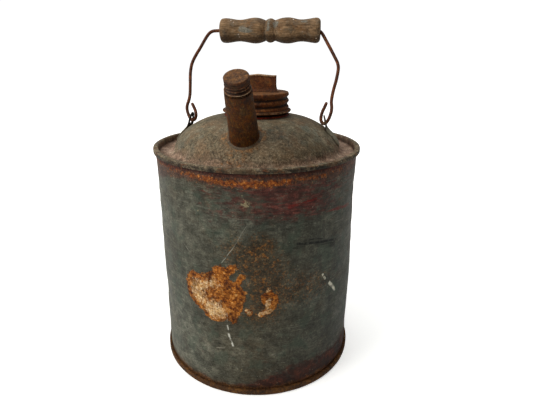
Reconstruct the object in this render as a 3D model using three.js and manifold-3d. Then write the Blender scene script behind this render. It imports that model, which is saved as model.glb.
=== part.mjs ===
// One-gallon sheet-steel gas can: seamed cylindrical body, domed breast, screw-capped filler neck,
// screw-capped pour spout, wire bail with a turned wood grip. Millimetres, +Z up, origin at the
// centre of the base. The spout leans towards -Y, the bail ears stand at +X and -X.
import * as THREE from 'three';
import { mergeVertices } from 'three/addons/utils/BufferGeometryUtils.js';
import Module from 'manifold-3d';

const wasm = await Module();
wasm.setup();

// ---------------------------------------------------------------- driving dimensions
const CAN_HEIGHT = 186.5;        // base to the top of the upper seam
const SEAM_R = 84.15;            // outside of both double seams
const SEAM_H = 3.4;              // height of a double seam
const LEG_R = 82.2;              // inside of the seam's outer leg
const CHUCK_R = 80.4;            // inside of the seam's inner (chuck) wall
const SHEET = 0.6;               // sheet thickness
const WALL_R = 81.9;             // outside of the body wall
const GAP = 0.3;                 // clearance between separate pieces
const CAN_SEGS = 48;             // facets round the can

const LEDGE_Z = 181.5;           // upper face of the flat ledge round the dome
const LEDGE_R = 73.0;            // inner end of the ledge
const DOME_A = 67.9;             // dome semi-axis, radial
const DOME_B = 31.8;             // dome semi-axis, vertical
const DOME_SETTLE = 1.5;         // how much the crown sits lower round the neck
const PANEL_Z = 4.3;             // underside of the recessed bottom panel
const LOCK_SEAM_W = 6.0;         // grooved lock seam up the back of the body
const LOCK_SEAM_T = 0.8;

const NECK_HOLE_R = 24.4;        // hole in the crown for the filler neck
const NECK_TOP = 225.9;
const NECK_COLLAR_R = 25.9;
const FILL_PITCH = 5.08;         // rolled thread, five to the inch
const FILL_DEPTH = 1.0;          // thread depth
const FILL_CREST_Z = 221.385;    // a crest's height at azimuth 0
const CAP_R = 25.6;              // filler cap, outside crest radius
const CAP_TOP = 228.2;
const CAP_BEAD_R = 26.4;         // centre radius of the curled lower edge
const CAP_BEAD_Z = 213.1;
const CAP_BEAD = 1.1;
const WING_HALF = 15.6;          // half width of the finger wing
const WING_TOP = 240.2;
const WING_T = 3.6;
const WING_TURN = -4.0;          // degrees about Z

const SPOUT_R0 = 52.2;           // spout axis meets the dome at this radius
const SPOUT_TILT = 28.0;         // degrees from vertical, leaning to -Y
const SPOUT_BASE_R = 10.64;      // outside radius at the dome
const SPOUT_END_R = 9.24;        // outside radius under the cap
const SPOUT_TUBE_L = 37.5;
const NOZZLE_TOP = 46.3;
const SPOUT_PITCH = 3.0;
const SPOUT_DEPTH = 0.6;
const SPOUT_CREST_L = 43.4;
const SPOUT_CAP_R = 9.0;
const SPOUT_CAP_TOP = 48.5;

const PIVOT_X = 56.0;            // where the bail wire passes through each ear
const PIVOT_Z = 204.2;
const EAR_T = 1.0;
const EAR_LEAN = 14.0;           // degrees that an ear leans inwards
const EAR_HOLE_R = 3.5;
const EAR_TOP = 6.4;             // top of an ear above its hole's centre
const EAR_HALF_W = 8.4;          // half width of the foot
const BAIL_LEAN = 24.0;          // degrees that the bail leans back at rest
const WIRE_R = 1.35;
const BAIL_RISE = 77.0;          // pivot to the straight length that carries the grip
const GRIP_X0 = -35.8;           // left end of the grip
const GRIP_L = 83.5;
const GRIP_BORE_R = 2.1;

// ---------------------------------------------------------------- helpers
const rad = (d) => (d * Math.PI) / 180;
const smooth = (t) => { const u = Math.min(1, Math.max(0, t)); return u * u * (3 - 2 * u); };

// keep positions only, weld them and drop triangles that collapse on the axis
function weld(geometry) {
  const g = geometry.clone();
  for (const k of Object.keys(g.attributes)) if (k !== 'position') g.deleteAttribute(k);
  const m = mergeVertices(g, 1e-4);
  const src = m.index.array;
  const out = [];
  for (let i = 0; i < src.length; i += 3) {
    const a = src[i], b = src[i + 1], c = src[i + 2];
    if (a !== b && b !== c && c !== a) out.push(a, b, c);
  }
  m.setIndex(out);
  return m;
}

function toSolid(geometry) {
  const g = weld(geometry);
  return new wasm.Manifold(new wasm.Mesh({
    numProp: 3,
    vertProperties: new Float32Array(g.attributes.position.array),
    triVerts: new Uint32Array(g.index.array),
  }));
}

function fromSolid(solid) {
  const mesh = solid.getMesh();
  const g = new THREE.BufferGeometry();
  g.setAttribute('position', new THREE.BufferAttribute(new Float32Array(mesh.vertProperties), 3));
  g.setIndex(new THREE.BufferAttribute(new Uint32Array(mesh.triVerts), 1));
  return g;
}

// profile: [radius, height] points, anticlockwise, closed on itself unless it starts and ends on the axis
function turned(profile, segs) {
  const pts = profile.map(([r, z]) => new THREE.Vector2(r, z));
  const onAxis = profile[0][0] === 0 && profile[profile.length - 1][0] === 0;
  if (!onAxis) pts.push(pts[0].clone());
  const g = new THREE.LatheGeometry(pts, segs);
  g.rotateX(Math.PI / 2);          // the lathe's +Y axis becomes +Z
  return weld(g);
}

// pull the wall of a turned piece into a right-hand rolled thread
function rollThread(geometry, crestZ, pitch, shift) {
  const p = geometry.attributes.position;
  for (let i = 0; i < p.count; i++) {
    const x = p.getX(i), y = p.getY(i), z = p.getZ(i);
    const r = Math.hypot(x, y);
    if (r < 1e-6) continue;
    const phase = 2 * Math.PI * ((z - crestZ) / pitch) - Math.atan2(y, x);
    const k = (r + shift(r, z, Math.cos(phase))) / r;
    p.setXYZ(i, x * k, y * k, z);
  }
  return geometry;
}

function mirrorX(geometry) {
  const g = geometry.clone();
  g.scale(-1, 1, 1);
  const a = Array.from(g.index.array);
  for (let i = 0; i < a.length; i += 3) { const t = a[i + 1]; a[i + 1] = a[i + 2]; a[i + 2] = t; }
  g.setIndex(a);
  return g;
}

function mesh(name, geometry, material, parent) {
  const m = new THREE.Mesh(geometry, material);
  m.name = name;
  parent.add(m);
  return m;
}

const rows = (a, b, n) => Array.from({ length: n + 1 }, (_, i) => a + ((b - a) * i) / n);

// height of the dome's outer face at radius r, moved out by off
function domeZ(r, off = 0) {
  const a = DOME_A + off, b = DOME_B + off;
  const q = Math.min(1, r / a);
  return LEDGE_Z + b * Math.sqrt(1 - q * q) - DOME_SETTLE * smooth((45 - r) / 20);
}

// ---------------------------------------------------------------- materials
const mat = (color, roughness, metalness) => new THREE.MeshStandardMaterial({ color, roughness, metalness });
const galvanised = mat(0x5f625c, 0.62, 0.55);
const breastSteel = mat(0x6b6658, 0.68, 0.45);
const rustSteel = mat(0x4a2c1e, 0.75, 0.4);
const wireSteel = mat(0x3d261c, 0.65, 0.5);
const solderMetal = mat(0x6e6a62, 0.5, 0.6);
const woodGrip = mat(0x7a6152, 0.8, 0.0);
const rubberGasket = mat(0x2a2724, 0.9, 0.0);

const can = new THREE.Group();

// ---------------------------------------------------------------- body wall with its lock seam
{
  const z0 = 1.0, z1 = CAN_HEIGHT - 1.0;
  const tube = toSolid(turned([[WALL_R - SHEET, z0], [WALL_R, z0], [WALL_R, z1], [WALL_R - SHEET, z1]], CAN_SEGS));
  const s = new THREE.Shape();
  const h = LOCK_SEAM_W / 2, ro = WALL_R + LOCK_SEAM_T - 0.02, ri = WALL_R - 0.3;
  s.moveTo(-h, ri); s.lineTo(h, ri); s.lineTo(h, ro - 0.35); s.lineTo(h - 0.5, ro);
  s.lineTo(-h + 0.5, ro); s.lineTo(-h, ro - 0.35); s.closePath();
  const ridge = new THREE.ExtrudeGeometry(s, { depth: CAN_HEIGHT - 2 * SEAM_H - 1.4, bevelEnabled: false });
  ridge.translate(0, 0, SEAM_H + 0.7);
  mesh('body_wall', fromSolid(tube.add(toSolid(ridge))), galvanised, can);
}

// ---------------------------------------------------------------- bottom end
mesh('bottom_end', turned([
  [0, PANEL_Z], [CHUCK_R - 0.9, PANEL_Z], [CHUCK_R, PANEL_Z - 0.9], [CHUCK_R, 0.3], [CHUCK_R + 0.3, 0],
  [SEAM_R - 0.6, 0], [SEAM_R, 0.6], [SEAM_R, SEAM_H - 0.4], [SEAM_R - 0.5, SEAM_H], [LEG_R, SEAM_H],
  [LEG_R, SHEET], [CHUCK_R + SHEET, SHEET], [CHUCK_R + SHEET, PANEL_Z], [CHUCK_R, PANEL_Z + SHEET], [0, PANEL_Z + SHEET],
], CAN_SEGS), galvanised, can);

// ---------------------------------------------------------------- domed breast with ledge and upper seam
const domeTopRadii = [65.2, 62, 57.5, 52, 46, 39.5, 32.5, NECK_HOLE_R];
const domeUnderRadii = [NECK_HOLE_R, 34, 43, 51, 58, 63.2];
function domeSolid(off, floor) {
  const pts = [[0, floor], [DOME_A + off, floor], [DOME_A + off, LEDGE_Z]];
  for (const r of [67.2, 65.6, 62.5, 58.5, 53.5, 48, 42, 36, 30, 24.4]) pts.push([r + off * (r / DOME_A), domeZ(r) + off * Math.sqrt(1 - (r / DOME_A) ** 2) + (r > 66 ? 0.2 : 0)]);
  pts.push([0, domeZ(24.4) + off]);
  return toSolid(turned(pts, CAN_SEGS));
}
{
  const t = SHEET;
  const H = CAN_HEIGHT;
  const profile = [
    [SEAM_R, H - SEAM_H + 0.4], [SEAM_R, H - 0.6], [SEAM_R - 0.6, H], [CHUCK_R + 0.4, H], [CHUCK_R, H - 0.4],
    [CHUCK_R, LEDGE_Z + 0.7], [CHUCK_R - 0.7, LEDGE_Z], [LEDGE_R, LEDGE_Z],
    [70.4, 182.2], [68.6, 183.6], [67.6, 185.4], [67.0, 187.3],
  ];
  for (const r of domeTopRadii) profile.push([r, domeZ(r)]);
  for (const r of domeUnderRadii) profile.push([r, domeZ(r, -t)]);
  profile.push([66.4, 187.0], [67.2, 184.6], [69.4, 181.9], [72.6, LEDGE_Z - t], [CHUCK_R + t - 0.5, LEDGE_Z - t], [CHUCK_R + t, LEDGE_Z - t + 0.5],
    [CHUCK_R + t, H - t], [LEG_R, H - t], [LEG_R, H - SEAM_H], [SEAM_R - 0.4, H - SEAM_H]);
  let breast = toSolid(turned(profile, CAN_SEGS));
  // round opening under the spout
  const bore = new THREE.CylinderGeometry(9.2, 9.2, 30, 24);
  bore.rotateX(Math.PI / 2);
  bore.rotateX(rad(SPOUT_TILT));
  bore.translate(0, -SPOUT_R0, domeZ(SPOUT_R0));
  breast = breast.subtract(toSolid(bore));
  mesh('dome_top', fromSolid(breast), breastSteel, can);
}
const domeClear = domeSolid(GAP + 0.05, 150);

// ---------------------------------------------------------------- filler neck, its solder, gasket, cap and wing
const NECK_SEGS = 28;
{
  const z0 = 213.2, z1 = NECK_TOP;
  const collarZ = domeZ(NECK_COLLAR_R) + GAP;
  const rc = 23.35;                                  // thread root radius
  const profile = [
    [22.5, 206.6], [23.9, 206.6], [23.9, domeZ(24.4) + GAP + 0.12], [NECK_COLLAR_R - 0.3, collarZ + 0.05], [NECK_COLLAR_R, collarZ + 0.3],
    [NECK_COLLAR_R, 211.0], [NECK_COLLAR_R - 0.5, 211.5], [24.2, 211.6], [rc, 212.2],
  ];
  for (const z of rows(z0, z1 - 0.5, 14)) profile.push([rc, z]);
  profile.push([rc - 0.3, z1], [22.5, z1]);
  const g = turned(profile, NECK_SEGS);
  rollThread(g, FILL_CREST_Z, FILL_PITCH, (r, z, c) =>
    (r > rc - 0.2 && z > 212.9 && z < z1 - 0.3 ? 0.5 * FILL_DEPTH * (1 + c) * smooth((z - z0) / 1.6) * smooth((z1 - 0.2 - z) / 1.4) : 0));
  mesh('filler_neck', g, rustSteel, can);
}
{
  const r0 = NECK_COLLAR_R + GAP, zz = domeZ(r0);
  const ring = toSolid(turned([[r0, zz - 3], [r0 + 1.7, zz - 3], [r0 + 1.7, domeZ(r0 + 1.7) + 0.7], [r0 + 0.7, zz + 0.95], [r0, zz + 1.4]], NECK_SEGS + 8));
  mesh('filler_neck_solder', fromSolid(ring.subtract(domeClear)), solderMetal, can);
}
const fillerCap = new THREE.Group();
can.add(fillerCap);
mesh('filler_gasket', turned([[20.2, NECK_TOP + GAP], [23.7, NECK_TOP + GAP], [23.7, CAP_TOP - SHEET - GAP], [20.2, CAP_TOP - SHEET - GAP]], NECK_SEGS), rubberGasket, fillerCap);
{
  const t = 0.7;
  const ri = CAP_R - t;
  const profile = [];
  for (const a of [200, 245, 290, 335, 20, 65]) profile.push([CAP_BEAD_R + CAP_BEAD * Math.cos(rad(a)), CAP_BEAD_Z + CAP_BEAD * Math.sin(rad(a))]);
  const wall = rows(214.7, 226.1, 13);
  for (const z of wall) profile.push([CAP_R, z]);
  profile.push([25.35, CAP_TOP - 1.2], [24.6, CAP_TOP - 0.4], [23.4, CAP_TOP], [0, CAP_TOP], [0, CAP_TOP - SHEET], [23.8, CAP_TOP - SHEET], [24.6, CAP_TOP - 1.3]);
  for (const z of wall.slice().reverse()) profile.push([ri, z]);
  const g = turned(profile.map((p, i) => [p[0], p[1]]), NECK_SEGS);
  rollThread(g, FILL_CREST_Z, FILL_PITCH, (r, z, c) =>
    (r > 24.5 && z > 214.6 && z < 226.2 ? -0.5 * FILL_DEPTH * (1 - c) * smooth((z - 214.7) / 1.4) * smooth((226.1 - z) / 1.5) : 0));
  mesh('filler_cap', g, rustSteel, fillerCap);
}
{
  const z0 = CAP_TOP + GAP;
  const s = new THREE.Shape();
  const half = [[18.2, z0], [17.9, z0 + 0.7], [16.9, z0 + 1.8], [16.1, z0 + 3.4], [WING_HALF, z0 + 6], [WING_HALF, WING_TOP - 1.2], [WING_HALF - 0.8, WING_TOP - 0.2]];
  const top = [[11, WING_TOP - 0.3], [6.5, WING_TOP + 0.2], [2.5, WING_TOP + 0.8], [-1, WING_TOP + 1.0], [-5, WING_TOP + 0.5], [-10, WING_TOP - 0.1]];
  const outline = [...half, ...top, ...half.slice().reverse().map(([x, z]) => [-x, z])];
  outline.forEach(([x, z], i) => (i ? s.lineTo(x, z) : s.moveTo(x, z)));
  s.closePath();
  const g = new THREE.ExtrudeGeometry(s, { depth: WING_T - 1.0, bevelEnabled: true, bevelThickness: 0.5, bevelSize: 0.45, bevelOffset: -0.45, bevelSegments: 1 });
  g.translate(0, 0, -(WING_T - 1.0) / 2);
  g.rotateX(Math.PI / 2);
  g.rotateZ(rad(WING_TURN));
  mesh('filler_cap_wing', weld(g), rustSteel, fillerCap);
}

// ---------------------------------------------------------------- pour spout, on its own tilted axis
const spout = new THREE.Group();
spout.position.set(0, -SPOUT_R0, domeZ(SPOUT_R0));
spout.rotation.x = rad(SPOUT_TILT);
can.add(spout);
spout.updateMatrixWorld(true);
const SPOUT_SEGS = 24;
// cut a piece that stands on the dome, given in the spout's own frame, to the dome's shape
function seatOnDome(geometry) {
  const g = geometry.clone();
  g.applyMatrix4(spout.matrixWorld);
  const cut = fromSolid(toSolid(g).subtract(domeClear));
  cut.applyMatrix4(spout.matrixWorld.clone().invert());
  return cut;
}
{
  const k = (SPOUT_END_R - SPOUT_BASE_R) / 39.4;
  const r = (l) => SPOUT_BASE_R + k * l;
  mesh('spout_tube', seatOnDome(turned([
    [r(0) - SHEET, -5], [r(0) + 0.1, -5], [r(0) + 0.1, 1], [r(8), 8], [r(SPOUT_TUBE_L), SPOUT_TUBE_L], [r(SPOUT_TUBE_L) - SHEET, SPOUT_TUBE_L], [r(8) - SHEET, 8], [r(0) - SHEET, 1],
  ], SPOUT_SEGS)), rustSteel, spout);
  mesh('spout_solder', seatOnDome(turned([
    [r(0) + 0.45, -5], [r(0) + 1.8, -5], [r(0) + 1.8, -0.1], [r(0) + 1.1, 0.7], [r(0) + 0.45, 2.0],
  ], SPOUT_SEGS)), solderMetal, spout);
}
{
  const ro = 7.35, l0 = 40.2, l1 = NOZZLE_TOP;
  const profile = [[6.6, 37.8], [9.0, 37.8], [9.25, 38.05], [9.25, 38.85], [8.9, 39.1], [7.6, 39.2], [ro, 39.6]];
  for (const z of rows(l0, l1 - 0.4, 10)) profile.push([ro, z]);
  profile.push([ro - 0.3, l1], [6.6, l1]);
  const g = turned(profile, SPOUT_SEGS - 4);
  rollThread(g, SPOUT_CREST_L, SPOUT_PITCH, (r, z, c) =>
    (r > 7.3 && z > 40.1 && z < l1 - 0.3 ? 0.5 * SPOUT_DEPTH * (1 + c) * smooth((z - l0) / 1.0) * smooth((l1 - 0.2 - z) / 0.9) : 0));
  mesh('spout_nozzle', g, rustSteel, spout);
}
const spoutCap = new THREE.Group();
spout.add(spoutCap);
mesh('spout_gasket', turned([[4.6, NOZZLE_TOP + GAP], [7.5, NOZZLE_TOP + GAP], [7.5, 47.55], [4.6, 47.55]], SPOUT_SEGS - 4), rubberGasket, spoutCap);
{
  const t = 0.55, ri = SPOUT_CAP_R - t;
  const profile = [];
  for (const a of [200, 245, 290, 335, 20, 65]) profile.push([8.85 + 0.7 * Math.cos(rad(a)), 40.1 + 0.7 * Math.sin(rad(a))]);
  const wall = rows(41.2, 46.6, 9);
  for (const z of wall) profile.push([SPOUT_CAP_R, z]);
  profile.push([8.85, 47.4], [8.4, 48.05], [7.6, 48.4], [4, SPOUT_CAP_TOP], [0, SPOUT_CAP_TOP], [0, 47.85], [7.8, 47.85], [8.3, 47.3]);
  for (const z of wall.slice().reverse()) profile.push([ri, z]);
  const g = turned(profile, SPOUT_SEGS - 4);
  rollThread(g, SPOUT_CREST_L, SPOUT_PITCH, (r, z, c) =>
    (r > 8.2 && z > 41.1 && z < 46.7 ? -0.5 * SPOUT_DEPTH * (1 - c) * smooth((z - 41.2) / 0.8) * smooth((46.6 - z) / 0.9) : 0));
  mesh('spout_cap', g, rustSteel, spoutCap);
}

// ---------------------------------------------------------------- bail ears: a strap bent to the dome's flank with a holed tab
{
  const lean = rad(EAR_LEAN);
  const strap = domeSolid(GAP + 0.05 + EAR_T, 150).subtract(domeClear);
  const f = new THREE.Shape();
  f.moveTo(-EAR_HALF_W, 199.2); f.lineTo(-EAR_HALF_W, 189.0); f.lineTo(-EAR_HALF_W + 2.2, 186.9);
  f.lineTo(EAR_HALF_W - 2.2, 186.9); f.lineTo(EAR_HALF_W, 189.0); f.lineTo(EAR_HALF_W, 199.2); f.closePath();
  const clip = new THREE.ExtrudeGeometry(f, { depth: 32, bevelEnabled: false });
  clip.rotateX(Math.PI / 2); clip.rotateZ(Math.PI / 2);   // drawn in Y-Z, extruded along +X
  clip.translate(50, 0, 0);
  // the tab, drawn in its own plane: across = Y, up = the leaning direction
  const tab = new THREE.Shape();
  const R = EAR_TOP, cz = 0.0, w0 = EAR_HALF_W;
  tab.moveTo(w0, -10.5);
  tab.lineTo(w0, -6.4);
  for (let i = 0; i <= 10; i++) { const a = rad(-12 + i * 20.4); tab.lineTo(R * Math.cos(a) * 0.96, cz + R * Math.sin(a)); }
  tab.lineTo(-w0, -6.4); tab.lineTo(-w0, -10.5); tab.closePath();
  const hole = new THREE.Path();
  hole.absarc(0, 0, EAR_HOLE_R, 0, Math.PI * 2, true);
  tab.holes.push(hole);
  const plate = new THREE.ExtrudeGeometry(tab, { depth: EAR_T, bevelEnabled: false, curveSegments: 16 });
  plate.translate(0, 0, -EAR_T / 2);
  plate.rotateX(Math.PI / 2); plate.rotateZ(Math.PI / 2);
  plate.rotateY(-lean);
  plate.translate(PIVOT_X, 0, PIVOT_Z);
  const foot = strap.intersect(toSolid(clip));
  const ear = fromSolid(foot.add(toSolid(plate).subtract(domeClear)));
  mesh('ear_right', ear, solderMetal, can);
  mesh('ear_left', mirrorX(ear), solderMetal, can);
}

// ---------------------------------------------------------------- bail wire and grip, in the leaning bail's own frame
const bail = new THREE.Group();
bail.position.set(0, 0, PIVOT_Z);
bail.rotation.x = -rad(BAIL_LEAN);
can.add(bail);
{
  // hand-bent wire: [x, rise] along each side, from the free end of the hook up to the grip
  const right = [[56.0, 17], [54.5, 13], [52.9, 9], [52.1, 5.2], [52.1, 2.6], [52.8, 0.7], [54.2, -0.5], [56.0, 0], [57.7, 2.2], [59.0, 5.4],
    [60.0, 9.4], [60.2, 13.0], [59.7, 16.9], [59.9, 20.9], [60.9, 27.4], [62.7, 35.7], [63.6, 42.2], [63.8, 46.0], [62.9, 49.9], [60.7, 54.2], [57.0, 61.0], [53.6, 67.0], [50.4, 72.6], [48.6, 75.1], [46.7, 76.5], [44.0, BAIL_RISE]];
  const left = [[-56.4, 14.0], [-54.7, 11.0], [-53.1, 8.0], [-52.2, 4.8], [-52.1, 2.4], [-52.8, 0.5], [-54.2, -0.6], [-56.0, 0], [-57.7, 2.2], [-59.3, 5.5],
    [-60.4, 9.2], [-60.4, 12.4], [-59.4, 16.2], [-58.8, 21.1], [-59.2, 29.7], [-59.8, 38.4], [-59.8, 42.8], [-59.1, 48.3], [-57.3, 53.3], [-52.1, 63.6], [-47.9, 71.9], [-45.7, 75.0], [-43.1, 76.6], [-39.6, BAIL_RISE]];
  const pts = [...left, [-30, BAIL_RISE], [0, BAIL_RISE], [30, BAIL_RISE], ...right.slice().reverse()].map(([x, s]) => new THREE.Vector3(x, 0, s));
  const path = new THREE.CatmullRomCurve3(pts, false, 'centripetal');
  // sample evenly in the bends, sparsely on the straight
  const samples = [];
  const N = 1200;
  let last = null;
  for (let i = 0; i <= N; i++) {
    const p = path.getPoint(i / N);
    const straight = Math.abs(p.x) < 40 && p.z > 70;
    const step = straight ? 20 : (p.z < 6 ? 1.15 : (p.z < 22 ? 2.1 : 3.4));
    if (last === null || p.distanceTo(last) >= step || i === N) {
      if (i === N && p.distanceTo(last) < 0.5) samples.pop();
      samples.push(p); last = p;
    }
  }
  const section = new THREE.Shape();
  for (let i = 0; i < 7; i++) {
    const a = (2 * Math.PI * i) / 7;
    const q = [WIRE_R * Math.cos(a), WIRE_R * Math.sin(a)];
    i ? section.lineTo(...q) : section.moveTo(...q);
  }
  section.closePath();
  // a polyline that returns its own points, so that the wire's bends keep their places
  class Bends extends THREE.Curve {
    getPoint(t, target = new THREE.Vector3()) {
      const k = Math.min(samples.length - 1, Math.max(0, t * (samples.length - 1)));
      const i = Math.min(samples.length - 2, Math.floor(k));
      return target.copy(samples[i]).lerp(samples[i + 1], k - i);
    }
    getPointAt(u, target) { return this.getPoint(u, target); }
    getTangentAt(u, target) { return this.getTangent(u, target); }
    getTangent(t, target = new THREE.Vector3()) {
      const d = 0.5 / (samples.length - 1);
      return target.copy(this.getPoint(Math.min(1, t + d))).sub(this.getPoint(Math.max(0, t - d))).normalize();
    }
  }
  const g = new THREE.ExtrudeGeometry(section, { steps: samples.length - 1, bevelEnabled: false, extrudePath: new Bends() });
  mesh('bail_wire', weld(g), wireSteel, bail);
}
{
  // turned outline: [along, radius]; two barrels and a centre bead
  const out = [[0, 6.6], [0.5, 8.4], [1.8, 9.5], [4.5, 9.85], [9, 9.45], [13, 8.8], [17, 8.5], [21.5, 9.0], [26, 9.8], [30, 10.1], [33.5, 9.7], [36.6, 8.7], [38.3, 8.05],
    [40.2, 9.0], [42.3, 9.5], [44.4, 9.0], [46.4, 8.05], [48.6, 8.6], [52, 9.7], [56.6, 10.1], [60.6, 9.7], [64.6, 8.8], [68.4, 8.5], [72.5, 8.8], [77, 9.5], [79.8, 9.85], [82, 9.3], [83.1, 8.2], [GRIP_L, 6.6]];
  const pts = [...out.map(([u, r]) => [r, u]), [4.0, GRIP_L], [GRIP_BORE_R, GRIP_L - 4.0], [GRIP_BORE_R, 4.0], [4.0, 0]];
  const g = turned(pts, 20);
  g.rotateY(Math.PI / 2);           // the lathe axis lies along +X
  g.translate(GRIP_X0, 0, BAIL_RISE);
  mesh('wood_grip', g, woodGrip, bail);
}

export default can;
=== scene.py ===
import math

import bpy
import numpy as np
from mathutils import Matrix, Vector


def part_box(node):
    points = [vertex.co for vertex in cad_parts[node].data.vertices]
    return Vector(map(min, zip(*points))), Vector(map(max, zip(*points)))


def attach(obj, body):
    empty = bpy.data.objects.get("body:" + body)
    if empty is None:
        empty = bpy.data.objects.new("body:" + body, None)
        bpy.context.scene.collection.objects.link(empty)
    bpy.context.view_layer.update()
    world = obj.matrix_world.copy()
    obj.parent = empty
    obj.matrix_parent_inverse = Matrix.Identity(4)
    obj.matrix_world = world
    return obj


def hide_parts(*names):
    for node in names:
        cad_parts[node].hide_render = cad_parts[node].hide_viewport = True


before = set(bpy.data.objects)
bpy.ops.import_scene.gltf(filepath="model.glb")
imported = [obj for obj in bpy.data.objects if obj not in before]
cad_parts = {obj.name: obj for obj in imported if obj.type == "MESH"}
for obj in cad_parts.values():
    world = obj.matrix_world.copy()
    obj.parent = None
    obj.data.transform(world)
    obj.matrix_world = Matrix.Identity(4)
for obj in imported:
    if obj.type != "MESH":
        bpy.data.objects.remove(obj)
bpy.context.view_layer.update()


MM = 0.001
PI = math.pi


# ---------------------------------------------------------------- small numeric helpers (millimetres)
def rad(d):
    return d * PI / 180.0


def sm(t):
    u = np.clip(t, 0.0, 1.0)
    return u * u * (3 - 2 * u)


def ramp01(x, a, b):
    """0 at a, 1 at b, smooth between."""
    return sm((x - a) / (b - a))


def _hash(ix, iy, iz, seed):
    h = (ix * 374761393 + iy * 668265263 + iz * 2147483629 + seed * 1274126177) & 0xFFFFFFFF
    h = ((h ^ (h >> 13)) * 1274126177) & 0xFFFFFFFF
    h = ((h ^ (h >> 15)) * 2246822519) & 0xFFFFFFFF
    return ((h ^ (h >> 16)) & 0xFFFFFF) / float(0xFFFFFF)


def vnoise(p, seed=0):
    """Smooth value noise from -1 to 1 at points p (N, 3)."""
    p = np.asarray(p, float)
    i = np.floor(p).astype(np.int64)
    f = p - i
    f = f * f * (3 - 2 * f)
    out = np.zeros(len(p))
    for dx in (0, 1):
        for dy in (0, 1):
            for dz in (0, 1):
                w = (f[:, 0] if dx else 1 - f[:, 0]) * (f[:, 1] if dy else 1 - f[:, 1]) * (f[:, 2] if dz else 1 - f[:, 2])
                out += w * _hash(i[:, 0] + dx, i[:, 1] + dy, i[:, 2] + dz, seed)
    return out * 2 - 1


def fbm(p, size, seed=0, octaves=3, gain=0.5):
    p = np.asarray(p, float) / size
    total, amp, norm = np.zeros(len(p)), 1.0, 0.0
    for k in range(octaves):
        total += amp * vnoise(p * (2 ** k) + 17.3 * k, seed + 31 * k)
        norm += amp
        amp *= gain
    return total / norm


def sd_poly(p, poly):
    """Signed distance of points (N, 2) to a closed polygon, negative inside."""
    poly = np.asarray(poly, float)
    d = np.full(len(p), 1e18)
    inside = np.zeros(len(p), bool)
    for k in range(len(poly)):
        a, b = poly[k], poly[(k + 1) % len(poly)]
        ab = b - a
        t = np.clip(((p - a) @ ab) / (ab @ ab + 1e-12), 0, 1)
        q = p - a - t[:, None] * ab
        d = np.minimum(d, (q ** 2).sum(1))
        cross = (a[1] > p[:, 1]) != (b[1] > p[:, 1])
        with np.errstate(divide="ignore", invalid="ignore"):
            xi = a[0] + (p[:, 1] - a[1]) * (b[0] - a[0]) / (b[1] - a[1] if b[1] != a[1] else 1e-12)
        inside ^= cross & (p[:, 0] < xi)
    d = np.sqrt(d)
    return np.where(inside, -d, d)


def sd_line(p, pts):
    pts = np.asarray(pts, float)
    d = np.full(len(p), 1e18)
    for a, b in zip(pts[:-1], pts[1:]):
        ab = b - a
        t = np.clip(((p - a) @ ab) / (ab @ ab + 1e-12), 0, 1)
        q = p - a - t[:, None] * ab
        d = np.minimum(d, (q ** 2).sum(1))
    return np.sqrt(d)


def soft(sd, width):
    """A mask from a signed distance: 1 well inside, 0.5 on the edge, 0 well outside."""
    return np.clip(0.5 - sd / (2.0 * width), 0, 1)


# ---------------------------------------------------------------- mesh helpers
def build(name, verts, faces, attrs=None, sharp=35.0, transform=None, keep_m=False):
    """A mesh object from points in millimetres and lists of quads and triangles."""
    v = np.asarray(verts, float) * (1.0 if keep_m else MM)
    if transform is not None:
        m = np.array(transform)
        v = v @ m[:3, :3].T + m[:3, 3] * MM
    quads = [np.asarray(f, np.int32) for f in faces if len(f)]
    me = bpy.data.meshes.new(name)
    nl = sum(f.size for f in quads)
    nf = sum(len(f) for f in quads)
    me.vertices.add(len(v))
    me.vertices.foreach_set("co", v.astype(np.float32).ravel())
    me.loops.add(nl)
    me.loops.foreach_set("vertex_index", np.concatenate([f.ravel() for f in quads]))
    me.polygons.add(nf)
    starts, k = [], 0
    for f in quads:
        starts.append(k + np.arange(len(f)) * f.shape[1])
        k += f.size
    me.polygons.foreach_set("loop_start", np.concatenate(starts).astype(np.int32))
    me.update(calc_edges=True)
    me.validate(clean_customdata=False)
    for key, val in (attrs or {}).items():
        a = me.attributes.new(key, "FLOAT", "POINT")
        a.data.foreach_set("value", np.asarray(val, np.float32))
    me.polygons.foreach_set("use_smooth", np.ones(len(me.polygons), bool))
    me.set_sharp_from_angle(angle=rad(sharp))
    o = bpy.data.objects.new(name, me)
    bpy.context.scene.collection.objects.link(o)
    return o


def grid(nu, nv, wrap_u=True, wrap_v=True, flip=False):
    """Quads of a grid whose point (u, v) has the index v * nu + u."""
    u = np.arange(nu if wrap_u else nu - 1)
    v = np.arange(nv if wrap_v else nv - 1)
    uu, vv = np.meshgrid(u, v)
    uu, vv = uu.ravel(), vv.ravel()
    u1, v1 = (uu + 1) % nu, (vv + 1) % nv
    f = np.stack([vv * nu + uu, vv * nu + u1, v1 * nu + u1, v1 * nu + uu], 1)
    return f[:, ::-1] if flip else f


def arc(cr, cz, r, a0, a1, n=6):
    return [(cr + r * math.cos(rad(a)), cz + r * math.sin(rad(a))) for a in np.linspace(a0, a1, n + 1)]


def refine(profile, step, closed=True):
    """Extra points along a profile, so that no stretch is longer than step. Points: (r, z, ...)."""
    out = []
    p = [tuple(x) for x in profile]
    n = len(p)
    for i in range(n if closed else n - 1):
        a, b = np.array(p[i], float), np.array(p[(i + 1) % n], float)
        k = max(1, int(math.ceil(np.linalg.norm((b - a)[:2]) / step)))
        for j in range(k):
            out.append(tuple(a + (b - a) * j / k))
    if not closed:
        out.append(p[-1])
    return out


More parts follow.
